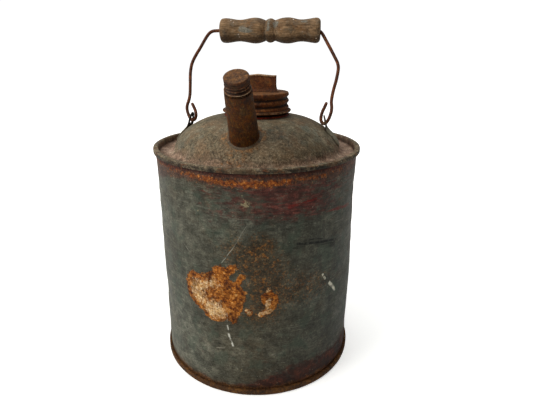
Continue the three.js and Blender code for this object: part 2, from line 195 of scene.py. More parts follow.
def lathe(profile, nu, shape=None, theta=None):
    """A turned solid. profile: (r, z) anticlockwise. Ends on the axis close with fans, otherwise it closes on itself.
    shape(r, z, theta) returns the moved (r, z). Gives verts, faces, r0, z0, theta of every point."""
    prof = np.array(profile, float)
    th = np.linspace(0, 2 * PI, nu, endpoint=False) if theta is None else np.asarray(theta, float)
    nu = len(th)
    on_axis = prof[0, 0] < 1e-9 and prof[-1, 0] < 1e-9
    rows = prof[1:-1] if on_axis else prof
    nv = len(rows)
    r = np.repeat(rows[:, 0], nu)
    z = np.repeat(rows[:, 1], nu)
    t = np.tile(th, nv)
    r1, z1 = (r, z) if shape is None else shape(r, z, t)
    v = np.stack([r1 * np.cos(t), r1 * np.sin(t), z1], 1)
    faces = [grid(nu, nv, True, not on_axis)]
    if on_axis:
        za, zb = prof[0, 1], prof[-1, 1]
        if shape is not None:
            za = float(shape(np.array([1e-6]), np.array([za]), np.array([0.0]))[1][0])
            zb = float(shape(np.array([1e-6]), np.array([zb]), np.array([0.0]))[1][0])
        v = np.vstack([v, [[0, 0, za], [0, 0, zb]]])
        a, b = len(v) - 2, len(v) - 1
        u = np.arange(nu)
        u1 = (u + 1) % nu
        faces.append(np.stack([np.full(nu, a), u1, u], 1))
        top = (nv - 1) * nu
        faces.append(np.stack([np.full(nu, b), top + u, top + u1], 1))
        r, z, t = np.append(r, [0, 0]), np.append(z, [prof[0, 1], prof[-1, 1]]), np.append(t, [0, 0])
    return v, faces, r, z, t


def transform(tx=0, ty=0, tz=0, rx=0):
    c, s = math.cos(rad(rx)), math.sin(rad(rx))
    return [[1, 0, 0, tx], [0, c, -s, ty], [0, s, c, tz], [0, 0, 0, 1]]


def boolean(target, cutter, op="DIFFERENCE"):
    m = target.modifiers.new("cut", "BOOLEAN")
    m.operation, m.solver, m.object = op, "EXACT", cutter
    bpy.context.view_layer.update()
    dg = bpy.context.evaluated_depsgraph_get()
    new = bpy.data.meshes.new_from_object(target.evaluated_get(dg))
    target.modifiers.clear()
    old = target.data
    target.data = new
    bpy.data.meshes.remove(old)
    bpy.data.objects.remove(cutter)
    new.polygons.foreach_set("use_smooth", np.ones(len(new.polygons), bool))
    new.set_sharp_from_angle(angle=rad(35))
    return target


# ---------------------------------------------------------------- material helpers
def srgb(r, g, b):
    def f(c):
        c = c / 255.0
        return c / 12.92 if c <= 0.04045 else ((c + 0.055) / 1.055) ** 2.4
    return (f(r), f(g), f(b), 1.0)


class Mat:
    def __init__(self, name, rough=0.6, gain=1.0, sat=1.0):
        self.gain, self.sat = gain, sat
        self.m = bpy.data.materials.new(name)
        self.m.use_nodes = True
        self.t = self.m.node_tree
        self.t.nodes.clear()
        self.out = self.t.nodes.new("ShaderNodeOutputMaterial")
        self.b = self.t.nodes.new("ShaderNodeBsdfPrincipled")
        self.t.links.new(self.b.outputs[0], self.out.inputs[0])
        self.b.inputs["Roughness"].default_value = rough
        tc = self.t.nodes.new("ShaderNodeTexCoord")
        v = self.t.nodes.new("ShaderNodeVectorMath")
        v.operation = "SCALE"
        v.inputs["Scale"].default_value = 1000.0
        self.t.links.new(tc.outputs["Object"], v.inputs[0])
        self.P = v.outputs[0]
        sep = self.t.nodes.new("ShaderNodeSeparateXYZ")
        self.t.links.new(self.P, sep.inputs[0])
        self.X, self.Y, self.Z = sep.outputs

    def col(self, rgb):
        """A colour given in 0..255, with this material's own depth and strength of colour."""
        c = np.array(srgb(*rgb)[:3]) * self.gain
        y = float(c @ np.array([0.2126, 0.7152, 0.0722]))
        c = np.clip(y + (c - y) * self.sat, 0, 1)
        return (float(c[0]), float(c[1]), float(c[2]), 1.0)

    def put(self, sock, val):
        if isinstance(val, bpy.types.NodeSocket):
            self.t.links.new(val, sock)
        else:
            sock.default_value = val

    def math(self, op, a, b=None, c=None, clamp=False):
        n = self.t.nodes.new("ShaderNodeMath")
        n.operation, n.use_clamp = op, clamp
        for i, x in enumerate((a, b, c)):
            if x is not None:
                self.put(n.inputs[i], x)
        return n.outputs[0]

    def add(self, a, b, clamp=False):
        return self.math("ADD", a, b, clamp=clamp)

    def mul(self, a, b, clamp=False):
        return self.math("MULTIPLY", a, b, clamp=clamp)

    def sub(self, a, b, clamp=False):
        return self.math("SUBTRACT", a, b, clamp=clamp)

    def mad(self, a, b, c):
        return self.math("MULTIPLY_ADD", a, b, c)

    def hi(self, a, b):
        return self.math("MAXIMUM", a, b)

    def lo(self, a, b):
        return self.math("MINIMUM", a, b)

    def rng(self, x, a, b, c=0.0, d=1.0):
        n = self.t.nodes.new("ShaderNodeMapRange")
        n.interpolation_type = "SMOOTHSTEP"
        self.put(n.inputs["Value"], x)
        for k, v in (("From Min", a), ("From Max", b), ("To Min", c), ("To Max", d)):
            n.inputs[k].default_value = v
        return n.outputs["Result"]

    def vec(self, x, y, z):
        n = self.t.nodes.new("ShaderNodeCombineXYZ")
        for i, v in enumerate((x, y, z)):
            self.put(n.inputs[i], v)
        return n.outputs[0]

    def warp(self, p, size, amount, seed=0.0):
        """p moved about by a noise of that size."""
        n = self.t.nodes.new("ShaderNodeTexNoise")
        self.put(n.inputs["Vector"], self.scaled(p, (1 / size,) * 3, seed))
        n.inputs["Scale"].default_value = 1.0
        n.inputs["Detail"].default_value = 3.0
        s = self.t.nodes.new("ShaderNodeVectorMath")
        s.operation = "SUBTRACT"
        self.t.links.new(n.outputs["Color"], s.inputs[0])
        s.inputs[1].default_value = (0.5, 0.5, 0.5)
        k = self.t.nodes.new("ShaderNodeVectorMath")
        k.operation = "MULTIPLY_ADD"
        self.t.links.new(s.outputs[0], k.inputs[0])
        k.inputs[1].default_value = (amount * 2,) * 3
        self.put(k.inputs[2], p)
        return k.outputs[0]

    def scaled(self, p, scale, seed=0.0):
        k = self.t.nodes.new("ShaderNodeVectorMath")
        k.operation = "MULTIPLY_ADD"
        self.put(k.inputs[0], p)
        k.inputs[1].default_value = scale
        k.inputs[2].default_value = (seed * 3.7, seed * 1.9 + 0.3, seed * 2.3)
        return k.outputs[0]

    def noise(self, size, detail=4.0, rough=0.55, p=None, seed=0.0, dist=0.0):
        """Noise from 0 to 1, its features about size millimetres; size may be a 3-vector."""
        size = (size,) * 3 if isinstance(size, (int, float)) else size
        n = self.t.nodes.new("ShaderNodeTexNoise")
        self.put(n.inputs["Vector"], self.scaled(self.P if p is None else p, tuple(1.0 / s for s in size), seed))
        n.inputs["Scale"].default_value = 1.0
        n.inputs["Detail"].default_value = detail
        n.inputs["Roughness"].default_value = rough
        n.inputs["Distortion"].default_value = dist
        return n.outputs["Fac"]

    def cells(self, size, p=None, seed=0.0, feature="F1"):
        size = (size,) * 3 if isinstance(size, (int, float)) else size
        n = self.t.nodes.new("ShaderNodeTexVoronoi")
        n.feature = feature
        self.put(n.inputs["Vector"], self.scaled(self.P if p is None else p, tuple(1.0 / s for s in size), seed))
        n.inputs["Scale"].default_value = 1.0
        return n.outputs["Distance"], n.outputs.get("Color")

    def attr(self, name):
        n = self.t.nodes.new("ShaderNodeAttribute")
        n.attribute_name = name
        return n.outputs["Fac"]

    def ramp(self, fac, stops):
        n = self.t.nodes.new("ShaderNodeValToRGB")
        self.put(n.inputs[0], fac)
        e = n.color_ramp.elements
        while len(e) > 1:
            e.remove(e[-1])
        e[0].position, e[0].color = stops[0][0], self.col(stops[0][1])
        for pos, col in stops[1:]:
            x = e.new(pos)
            x.color = self.col(col)
        return n.outputs[0]

    def mix(self, fac, a, b, mode="MIX"):
        n = self.t.nodes.new("ShaderNodeMix")
        n.data_type, n.blend_type = "RGBA", mode
        n.clamp_factor = True
        ins = [i for i in n.inputs if i.type == "RGBA"]
        self.put(n.inputs[0], fac)
        for s, v in zip(ins, (a, b)):
            self.put(s, self.col(v) if isinstance(v, tuple) and len(v) == 3 else v)
        return [o for o in n.outputs if o.type == "RGBA"][0]

    def grey(self, x):
        """A number as a colour."""
        return self.vec(x, x, x)

    def normal_z(self):
        n = self.t.nodes.new("ShaderNodeTexCoord")
        s = self.t.nodes.new("ShaderNodeSeparateXYZ")
        self.t.links.new(n.outputs["Normal"], s.inputs[0])
        return s.outputs[2]

    def bump(self, height, distance_mm, strength=1.0, below=None):
        n = self.t.nodes.new("ShaderNodeBump")
        n.inputs["Strength"].default_value = strength
        n.inputs["Distance"].default_value = distance_mm * MM
        self.put(n.inputs["Height"], height)
        if below is not None:
            self.t.links.new(below, n.inputs["Normal"])
        return n.outputs[0]

    def finish(self, color, rough=None, normal=None, metal=None):
        self.put(self.b.inputs["Base Color"], color)
        if rough is not None:
            self.put(self.b.inputs["Roughness"], rough)
        if normal is not None:
            self.put(self.b.inputs["Normal"], normal)
        if metal is not None:
            self.put(self.b.inputs["Metallic"], metal)
        return self.m


# ---------------------------------------------------------------- materials
def rusty0(m, z):
    """Near the two seams, where rust has taken over the zinc."""
    return m.hi(m.rng(z, 30.0, 14.0), m.hi(m.rng(z, 162.0, 174.0), m.hi(m.attr("patch"), m.attr("stain"))))


def mat_wall():
    m = Mat("aged_galvanised_wall", gain=0.86, sat=1.1)
    m.b.inputs["Specular IOR Level"].default_value = 0.2
    s, z = m.attr("s"), m.Z
    flat = m.vec(s, z, 0.0)
    wide = m.noise(30, 5, 0.6, seed=1)
    mid = m.noise(9, 6, 0.66, seed=2)
    fine = m.noise(1.3, 5, 0.7, seed=3)
    tiny = m.noise(0.55, 2, 0.6, seed=4)
    scuff = m.noise((26, 2.4, 1), 5, 0.62, p=m.warp(flat, 12, 2.0, 1), seed=5)
    tone = m.add(m.mul(wide, 0.45), m.add(m.mul(mid, 0.35), m.mul(scuff, 0.2)))
    c = m.ramp(tone, [(0.35, (42, 44, 38)), (0.45, (67, 69, 60)), (0.51, (84, 86, 76)), (0.57, (98, 99, 88)), (0.66, (124, 124, 110))])
    c = m.mix(m.mul(m.rng(m.noise(22, 6, 0.65, seed=8), 0.5, 0.66), 0.5), c, (76, 65, 49))
    c = m.mix(m.mul(m.attr("warm"), 0.5), c, (80, 68, 50))
    # painted light: paler low on the left and up the left flank, where the light falls
    c = m.mix(m.mul(m.attr("lift"), 0.42), c, m.ramp(mid, [(0.36, (92, 94, 84)), (0.5, (122, 123, 110)), (0.64, (150, 150, 136))]))
    # painted shade: darker on the right flank, away from the light
    c = m.mix(m.mul(m.attr("shade"), 0.4), c, (48, 49, 42))
    # long scuffs round the body, pale and dark, and faint runs down it
    rub = m.noise((20, 1.1, 1), 6, 0.7, p=m.warp(flat, 14, 3.0, 6), seed=45)
    c = m.mix(m.mul(m.rng(rub, 0.55, 0.68), 0.5), c, (122, 122, 110))
    c = m.mix(m.mul(m.rng(rub, 0.44, 0.33), 0.65), c, (38, 38, 33))
    runs = m.noise((3.0, 34, 1), 5, 0.65, p=m.warp(flat, 10, 1.5, 7), seed=46)
    c = m.mix(m.mul(m.rng(runs, 0.54, 0.68), 0.4), c, (50, 46, 37))
    blot = m.noise(5.0, 6, 0.75, seed=47)
    c = m.mix(m.mul(m.rng(blot, 0.44, 0.34), 0.55), c, (40, 39, 33))
    c = m.mix(m.mul(m.rng(blot, 0.57, 0.68), 0.4), c, (118, 118, 106))
    # maroon paint left in the pores, as streaks along the drawing marks
    paint_edge = m.add(m.mul(m.sub(m.noise((16, 3.0, 1), 6, 0.68, p=m.warp(flat, 8, 2.5, 2), seed=9), 0.5), 2.0), m.mul(m.sub(mid, 0.5), 0.9))
    paint_fine = m.add(paint_edge, m.mul(m.sub(m.noise((7, 1.3, 1), 6, 0.75, p=flat, seed=48), 0.5), 1.8))
    maroon = m.rng(m.add(m.attr("maroon"), paint_fine), 0.35, 1.05)
    c = m.mix(m.mul(maroon, 0.85), c, m.ramp(m.noise((8, 2.0, 1), 6, 0.72, p=flat, seed=54), [(0.36, (46, 19, 17)), (0.5, (76, 34, 30)), (0.62, (108, 58, 50))]))
    red = m.rng(m.add(m.attr("red"), m.mul(paint_fine, 0.5)), 0.45, 0.75)
    c = m.mix(m.mul(red, 0.8), c, (112, 34, 28))
    # brown staining round the bare spots
    stain = m.rng(m.add(m.attr("stain"), m.mul(m.sub(m.noise(13, 6, 0.65, seed=10), 0.5), 1.5)), 0.32, 0.8)
    c = m.mix(m.mul(stain, 0.78), c, m.ramp(fine, [(0.36, (40, 33, 24)), (0.5, (60, 50, 36)), (0.62, (84, 68, 46))]))
    fleck = m.mul(m.rng(m.attr("stain"), 0.15, 0.6), m.rng(m.noise(2.0, 5, 0.72, seed=11), 0.52, 0.62))
    c = m.mix(m.mul(fleck, 0.62), c, m.ramp(fine, [(0.38, (84, 50, 26)), (0.6, (146, 98, 54))]))
    bitten = m.mul(m.rng(m.attr("stain"), 0.35, 0.9), m.rng(m.noise(5.5, 6, 0.76, seed=60), 0.565, 0.62))
    c = m.mix(m.mul(bitten, 0.7), c, m.ramp(fine, [(0.38, (100, 58, 26)), (0.6, (166, 112, 58))]))
    # rust along the lower seam
    low = m.rng(m.add(m.attr("low"), m.add(m.mul(paint_fine, 0.55), m.mul(m.sub(m.noise(5, 6, 0.74, seed=58), 0.5), 1.4))), 0.3, 0.95)
    c = m.mix(m.mul(low, 0.9), c, m.ramp(mid, [(0.38, (34, 15, 11)), (0.5, (56, 27, 20)), (0.62, (86, 45, 33))]))
    foot = m.rng(m.add(z, m.mul(m.sub(m.noise(7, 6, 0.7, seed=13), 0.5), -16)), 9.5, 4.5)
    c = m.mix(m.mul(foot, 0.8), c, m.ramp(fine, [(0.36, (62, 40, 24)), (0.52, (96, 62, 34)), (0.64, (122, 86, 50))]))
    # orange rust creeping down from the upper seam
    creep = m.add(m.attr("orange"), m.add(m.mul(m.sub(m.noise(6, 6, 0.75, seed=14), 0.5), 1.5), m.add(m.mul(m.sub(m.noise(2.2, 5, 0.7, seed=49), 0.5), 1.3), m.mul(m.sub(fine, 0.5), 0.6))))
    top_brown = m.rng(m.add(m.attr("topband"), m.mul(m.sub(m.noise(9, 5, 0.66, seed=19), 0.5), 1.0)), 0.4, 0.66)
    c = m.mix(m.mul(top_brown, 0.78), c, m.ramp(fine, [(0.36, (52, 31, 26)), (0.5, (74, 48, 39)), (0.64, (96, 66, 52))]))
    orange = m.rng(creep, 0.5, 0.95)
    c = m.mix(m.mul(orange, 0.92), c, m.ramp(m.noise(2.2, 6, 0.75, seed=15), [(0.38, (74, 36, 20)), (0.47, (112, 58, 28)), (0.55, (156, 88, 40)), (0.64, (196, 136, 78))]))
    redline = m.rng(m.add(z, m.mul(m.sub(m.noise((16, 16, 5), 5, 0.7, seed=50), 0.5), 7.0)), 179.0, 181.2)
    c = m.mix(m.mul(redline, 0.75), c, m.ramp(fine, [(0.37, (44, 16, 12)), (0.62, (88, 42, 31))]))
    seamfleck = m.mul(m.rng(z, 170.0, 176.0), m.rng(m.noise((2.2, 2.2, 3.4), 5, 0.74, seed=59), 0.56, 0.66))
    c = m.mix(m.mul(seamfleck, 0.6), c, m.ramp(fine, [(0.38, (122, 66, 34)), (0.6, (176, 118, 72))]))
    # painted shadow just under the lip of the upper seam, in a near-black rust red
    shadow_under_seam = m.rng(z, 181.4, 182.6)
    c = m.mix(m.mul(shadow_under_seam, 0.8), c, (26, 12, 9))
    # the bare rusted patches
    ragged = m.add(m.mul(m.sub(m.noise(4.5, 6, 0.72, seed=16), 0.5), 1.5), m.mul(m.sub(fine, 0.5), 0.5))
    big = m.rng(m.add(m.attr("patch"), m.mul(ragged, 0.95)), 0.44, 0.56)
    rust = m.ramp(m.add(m.mul(m.noise(2.2, 5, 0.72, seed=17), 0.7), m.mul(m.noise(7, 3, 0.5, seed=18), 0.3)),
                  [(0.38, (52, 25, 12)), (0.455, (110, 60, 25)), (0.52, (158, 94, 42)), (0.60, (194, 136, 76)), (0.68, (212, 172, 122))])
    c = m.mix(big, c, rust)
    cream = m.mul(big, m.rng(m.add(m.attr("cream"), m.add(m.mul(m.sub(m.noise(6, 5, 0.65, seed=20), 0.5), 1.1), m.mul(m.sub(m.noise(2.0, 5, 0.75, seed=21), 0.5), 2.4))), 0.42, 0.95))
    c = m.mix(m.mul(cream, 0.92), c, m.ramp(m.noise(1.8, 4, 0.65, seed=22), [(0.38, (170, 122, 70)), (0.5, (208, 170, 122)), (0.62, (232, 208, 172))]))
    pits = m.mul(big, m.rng(m.noise(1.8, 4, 0.7, seed=23), 0.56, 0.64))
    c = m.mix(m.mul(pits, 0.7), c, (78, 38, 18))
    # grain, scratches and specks over everything
    c = m.mix(0.42, c, m.grey(m.rng(m.noise((9.0, 2.6, 1), 6, 0.74, p=m.warp(flat, 8, 2.6, 9), seed=51), 0.3, 0.7, 0.14, 0.86)), "OVERLAY")
    c = m.mix(0.5, c, m.grey(m.rng(m.noise(8.0, 7, 0.76, p=m.warp(m.P, 9, 2.0, 12), seed=57), 0.34, 0.66, 0.14, 0.86)), "OVERLAY")
    c = m.mix(0.42, c, m.grey(m.rng(fine, 0.28, 0.72, 0.15, 0.85)), "OVERLAY")
    tint = m.noise(13, 5, 0.62, seed=55)
    c = m.mix(m.mul(m.rng(tint, 0.5, 0.62), m.mul(m.rng(rusty0(m, z), 1.0, 0.0), 0.4)), c, (66, 80, 68))
    c = m.mix(0.22, c, m.grey(m.rng(tiny, 0.3, 0.7, 0.2, 0.8)), "OVERLAY")
    light = m.rng(m.noise(1.7, 3, 0.6, seed=24), 0.66, 0.72)
    c = m.mix(m.mul(m.attr("lock"), 0.8), c, (26, 22, 17))
    c = m.mix(m.mul(light, 0.45), c, (156, 150, 128))
    dark = m.rng(m.noise(2.9, 2, 0.5, seed=25), 0.70, 0.75)
    c = m.mix(m.mul(dark, 0.6), c, (34, 32, 27))
    ink = m.rng(m.noise((11, 1.0, 1), 5, 0.7, p=m.warp(flat, 10, 2.0, 11), seed=56), 0.655, 0.70)
    c = m.mix(m.mul(ink, 0.6), c, (28, 28, 24))
    c = m.mix(m.mul(m.rng(m.add(m.attr("blk"), m.mul(m.sub(m.noise(2.4, 3, 0.6, p=flat, seed=26), 0.5), 0.9)), 0.5, 0.66), 0.85), c, (20, 19, 17))
    c = m.mix(m.mul(m.rng(m.add(m.attr("pale"), m.mul(m.sub(m.noise(2.2, 5, 0.75, p=flat, seed=27), 0.5), 2.2)), 0.5, 0.85), 0.85), c, (158, 146, 116))

    wavy = m.warp(flat, 9, 0.7, 30)
    broken = m.rng(m.noise((3.5, 3.5, 1), 4, 0.7, p=flat, seed=35), 0.385, 0.54)

    def line(x0, z0, x1, z1, w, strength, col, seed):
        """A line in the wall's own (along, up) coordinates: mostly scratches; the three dark ones along the dent near s
        64, z 126 are painted shadow in its crease.
        """
        nonlocal c
        L = math.hypot(x1 - x0, z1 - z0)
        tx, tz = (x1 - x0) / L, (z1 - z0) / L
        def dot(a, b, k):
            n = m.t.nodes.new("ShaderNodeVectorMath")
            n.operation = "DOT_PRODUCT"
            m.put(n.inputs[0], wavy)
            n.inputs[1].default_value = (a, b, 0)
            return m.add(n.outputs["Value"], k)
        along = dot(tx, tz, -(x0 * tx + z0 * tz))
        across = m.math("ABSOLUTE", dot(-tz, tx, x0 * tz - z0 * tx))
        f = m.mul(m.rng(across, w, w * 0.35), m.mul(m.rng(along, -0.5, 0.6), m.rng(along, L + 0.5, L - 0.6)))
        c = m.mix(m.mul(m.mul(f, broken), strength), c, col)

    line(6.2, 145.3, -2.1, 129.7, 0.36, 0.5, (150, 148, 136), 30)
    line(-2.1, 129.7, -12.0, 115.5, 0.45, 0.65, (168, 166, 152), 31)
    line(-46.1, 123.4, -39.0, 118.0, 0.45, 0.75, (150, 148, 132), 32)
    line(-79.5, 78.0, -56.6, 81.4, 0.45, 0.5, (150, 150, 140), 33)
    line(67.1, 98.6, 71.0, 92.6, 1.25, 1.0, (214, 210, 190), 34)
    line(75.6, 88.2, 85.0, 77.4, 1.9, 1.0, (216, 212, 194), 35)
    line(-8.8, 55.2, -5.2, 43.8, 1.1, 1.0, (220, 218, 206), 36)
    line(-9.4, 63.0, -8.6, 58.4, 0.7, 0.9, (206, 204, 192), 37)
    line(-19.5, 39.6, -12.0, 41.0, 0.55, 0.6, (160, 154, 138), 38)
    line(-9.0, 77.5, -9.4, 66.0, 0.4, 0.6, (200, 190, 168), 39)
    # painted shadow: three dark lines along the crease of the dent near s 64, z 126
    line(42.8, 129.6, 82.5, 123.6, 1.5, 1.0, (18, 18, 16), 40)
    line(45.0, 131.8, 66.0, 129.0, 0.9, 0.85, (26, 26, 23), 45)
    line(60.0, 124.6, 80.0, 121.6, 0.6, 0.7, (28, 28, 25), 46)
    line(22.0, 153.4, 40.0, 152.0, 0.5, 0.6, (30, 30, 27), 47)
    line(-20.0, 152.0, 12.0, 149.5, 0.5, 0.45, (128, 126, 112), 48)
    line(-66.0, 158.0, -20.0, 156.0, 0.6, 0.35, (118, 118, 106), 49)
    line(30.0, 60.0, 70.0, 58.0, 0.5, 0.35, (112, 110, 98), 50)
    line(40.0, 88.0, 62.0, 93.0, 0.4, 0.5, (120, 112, 88), 41)
    line(-150, 120, -128, 96, 0.5, 0.6, (150, 148, 134), 42)
    line(168, 140, 150, 122, 0.5, 0.6, (150, 148, 134), 43)
    line(150, 60, 196, 52, 0.6, 0.8, (28, 28, 25), 44)
    c = m.mix(m.mul(m.rng(m.attr("wht"), 0.35, 0.65), 0.95), c, (206, 200, 184))

    rusty = m.hi(m.hi(big, m.mul(orange, 0.9)), m.hi(m.mul(foot, 0.8), m.mul(low, 0.6)))
    rough = m.add(m.rng(mid, 0.3, 0.7, 0.50, 0.64), m.mul(rusty, 0.25))
    h = m.add(m.mul(fine, 0.5), m.mul(tiny, 0.25))
    h2 = m.add(m.mul(big, 0.9), m.add(m.mul(orange, 0.5), m.mul(m.noise(1.7, 4, 0.7, seed=17), m.mul(rusty, 1.4))))
    n = m.bump(m.add(h, h2), 0.22, 0.8)
    metal = m.rng(rusty, 0.0, 0.5, 0.28, 0.0)
    return m.finish(c, rough, n, metal)


def mat_breast():
    m = Mat("weathered_breast", sat=1.12)
    m.b.inputs["Specular IOR Level"].default_value = 0.18
    wide = m.noise(24, 5, 0.6, seed=51)
    mid = m.noise(7, 6, 0.66, seed=52)
    fine = m.noise(1.5, 5, 0.72, seed=53)
    tiny = m.noise(0.6, 2, 0.6, seed=54)
    z = m.Z
    tone = m.add(m.mul(wide, 0.5), m.mul(mid, 0.5))
    c = m.ramp(tone, [(0.36, (76, 70, 56)), (0.46, (102, 94, 76)), (0.54, (122, 113, 94)), (0.66, (144, 134, 114))])
    c = m.mix(m.mul(m.rng(m.noise(19, 5, 0.62, seed=55), 0.5, 0.64), 0.65), c, (90, 94, 84))
    c = m.mix(m.mul(m.rng(m.noise(14, 6, 0.65, seed=56), 0.48, 0.64), 0.6), c, (112, 88, 66))
    # pinkish brown on the ledge and where it climbs the flank, darker at the front
    ledge = m.rng(m.add(z, m.mul(m.sub(m.noise(12, 5, 0.65, seed=57), 0.5), 16)), 190, 182)
    c = m.mix(m.mul(ledge, 0.8), c, m.ramp(mid, [(0.36, (124, 97, 82)), (0.5, (160, 132, 115)), (0.64, (184, 160, 141))]))
    front = m.mul(m.rng(m.Y, -20, -66), m.rng(m.add(z, m.mul(m.sub(m.noise(14, 5, 0.6, seed=61), 0.5), 20)), 212, 192))
    c = m.mix(m.mul(front, 0.5), c, m.ramp(fine, [(0.36, (72, 58, 43)), (0.5, (100, 82, 62)), (0.62, (122, 104, 82))]))
    # orange bleeding below the spout and round the neck
    bleed = m.rng(m.add(m.attr("bleed"), m.mul(m.sub(m.noise(5, 6, 0.72, seed=58), 0.5), 1.5)), 0.5, 0.78)
    c = m.mix(m.mul(bleed, 0.75), c, m.ramp(fine, [(0.36, (104, 66, 36)), (0.6, (146, 100, 56))]))
    # dark rolled seam, recess wall and their rust
    rim = m.attr("rim")
    rimc = m.ramp(m.add(m.mul(mid, 0.6), m.mul(fine, 0.4)), [(0.37, (40, 33, 26)), (0.47, (68, 60, 49)), (0.55, (98, 88, 72)), (0.66, (126, 104, 76))])
    c = m.mix(m.mul(m.rng(m.add(rim, m.mul(m.sub(fine, 0.5), 0.5)), 0.35, 0.6), 0.9), c, rimc)
    soot = m.mul(rim, m.mul(m.rng(z, 186.3, 185.0), m.rng(m.noise((9, 9, 4), 5, 0.65, seed=66), 0.43, 0.54)))
    c = m.mix(m.mul(soot, 0.82), c, (22, 18, 14))
    # pale line along the top of the rolled lip: painted highlight, with some worn zinc
    lip_wear_and_highlight = m.mul(rim, m.mul(m.rng(z, 185.9, 186.4), m.rng(m.noise(3.0, 5, 0.74, seed=67), 0.44, 0.6)))
    c = m.mix(m.mul(lip_wear_and_highlight, 0.6), c, (160, 146, 122))
    rr = m.mul(rim, m.rng(m.noise((7, 7, 3), 6, 0.7, seed=59), 0.52, 0.62))
    c = m.mix(m.mul(rr, 0.7), c, (96, 58, 36))
    dk = m.attr("recess")
    c = m.mix(m.mul(dk, 0.85), c, (46, 32, 25))
    c = m.mix(0.55, c, m.grey(m.rng(m.noise(4.5, 6, 0.78, seed=68), 0.3, 0.7, 0.15, 0.85)), "OVERLAY")
    c = m.mix(0.72, c, m.grey(m.rng(fine, 0.27, 0.73, 0.12, 0.88)), "OVERLAY")
    c = m.mix(0.4, c, m.grey(m.rng(tiny, 0.3, 0.7, 0.12, 0.88)), "OVERLAY")
    green = m.rng(m.noise(7, 5, 0.68, seed=69), 0.52, 0.62)
    c = m.mix(m.mul(green, 0.22), c, (90, 94, 78))
    brown = m.rng(m.noise(10, 6, 0.7, seed=70), 0.48, 0.62)
    c = m.mix(m.mul(brown, 0.3), c, (110, 84, 60))
    d, _ = m.cells(3.1, p=m.warp(m.P, 2.0, 0.7, 3), seed=60)
    light = m.mul(m.rng(d, 0.2, 0.1), m.rng(m.noise(6, 2, 0.5, seed=62), 0.56, 0.66))
    c = m.mix(m.mul(light, 0.6), c, (180, 168, 144))
    pale = m.rng(m.noise(1.5, 4, 0.65, seed=64), 0.60, 0.70)
    c = m.mix(m.mul(pale, 0.4), c, (158, 150, 130))
    dark = m.rng(m.noise(2.4, 2, 0.5, seed=63), 0.66, 0.72)
    c = m.mix(m.mul(dark, 0.6), c, (52, 46, 37))
    blot = m.noise(4.2, 6, 0.75, seed=65)
    c = m.mix(m.mul(m.rng(blot, 0.45, 0.35), 0.5), c, (58, 52, 42))
    rough = m.rng(mid, 0.3, 0.7, 0.6, 0.78)
    n = m.bump(m.add(m.mul(fine, 0.8), m.mul(tiny, 0.35)), 0.2, 0.9)
    return m.finish(c, rough, n, m.mul(rim, 0.12))


def mat_base():
    m = Mat("rusted_base_seam", sat=1.2)
    m.b.inputs["Specular IOR Level"].default_value = 0.18
    mid = m.noise(7, 6, 0.66, seed=71)
    fine = m.noise(1.6, 5, 0.72, seed=72)
    c = m.ramp(m.add(m.mul(mid, 0.55), m.mul(fine, 0.45)), [(0.36, (42, 29, 20)), (0.46, (66, 45, 29)), (0.55, (90, 62, 38)), (0.66, (122, 88, 54))])
    panel = m.rng(m.math("SQRT", m.add(m.mul(m.X, m.X), m.mul(m.Y, m.Y))), 81, 78)
    grey = m.ramp(m.noise(18, 6, 0.65, seed=73), [(0.38, (74, 60, 46)), (0.5, (86, 82, 70)), (0.62, (104, 102, 92))])
    c = m.mix(m.mul(panel, 0.8), c, grey)
    c = m.mix(0.5, c, m.grey(m.rng(fine, 0.27, 0.73, 0.2, 0.8)), "OVERLAY")
    n = m.bump(m.add(fine, m.mul(mid, 0.4)), 0.25, 0.9)
    return m.finish(c, m.rng(mid, 0.3, 0.7, 0.62, 0.82), n)


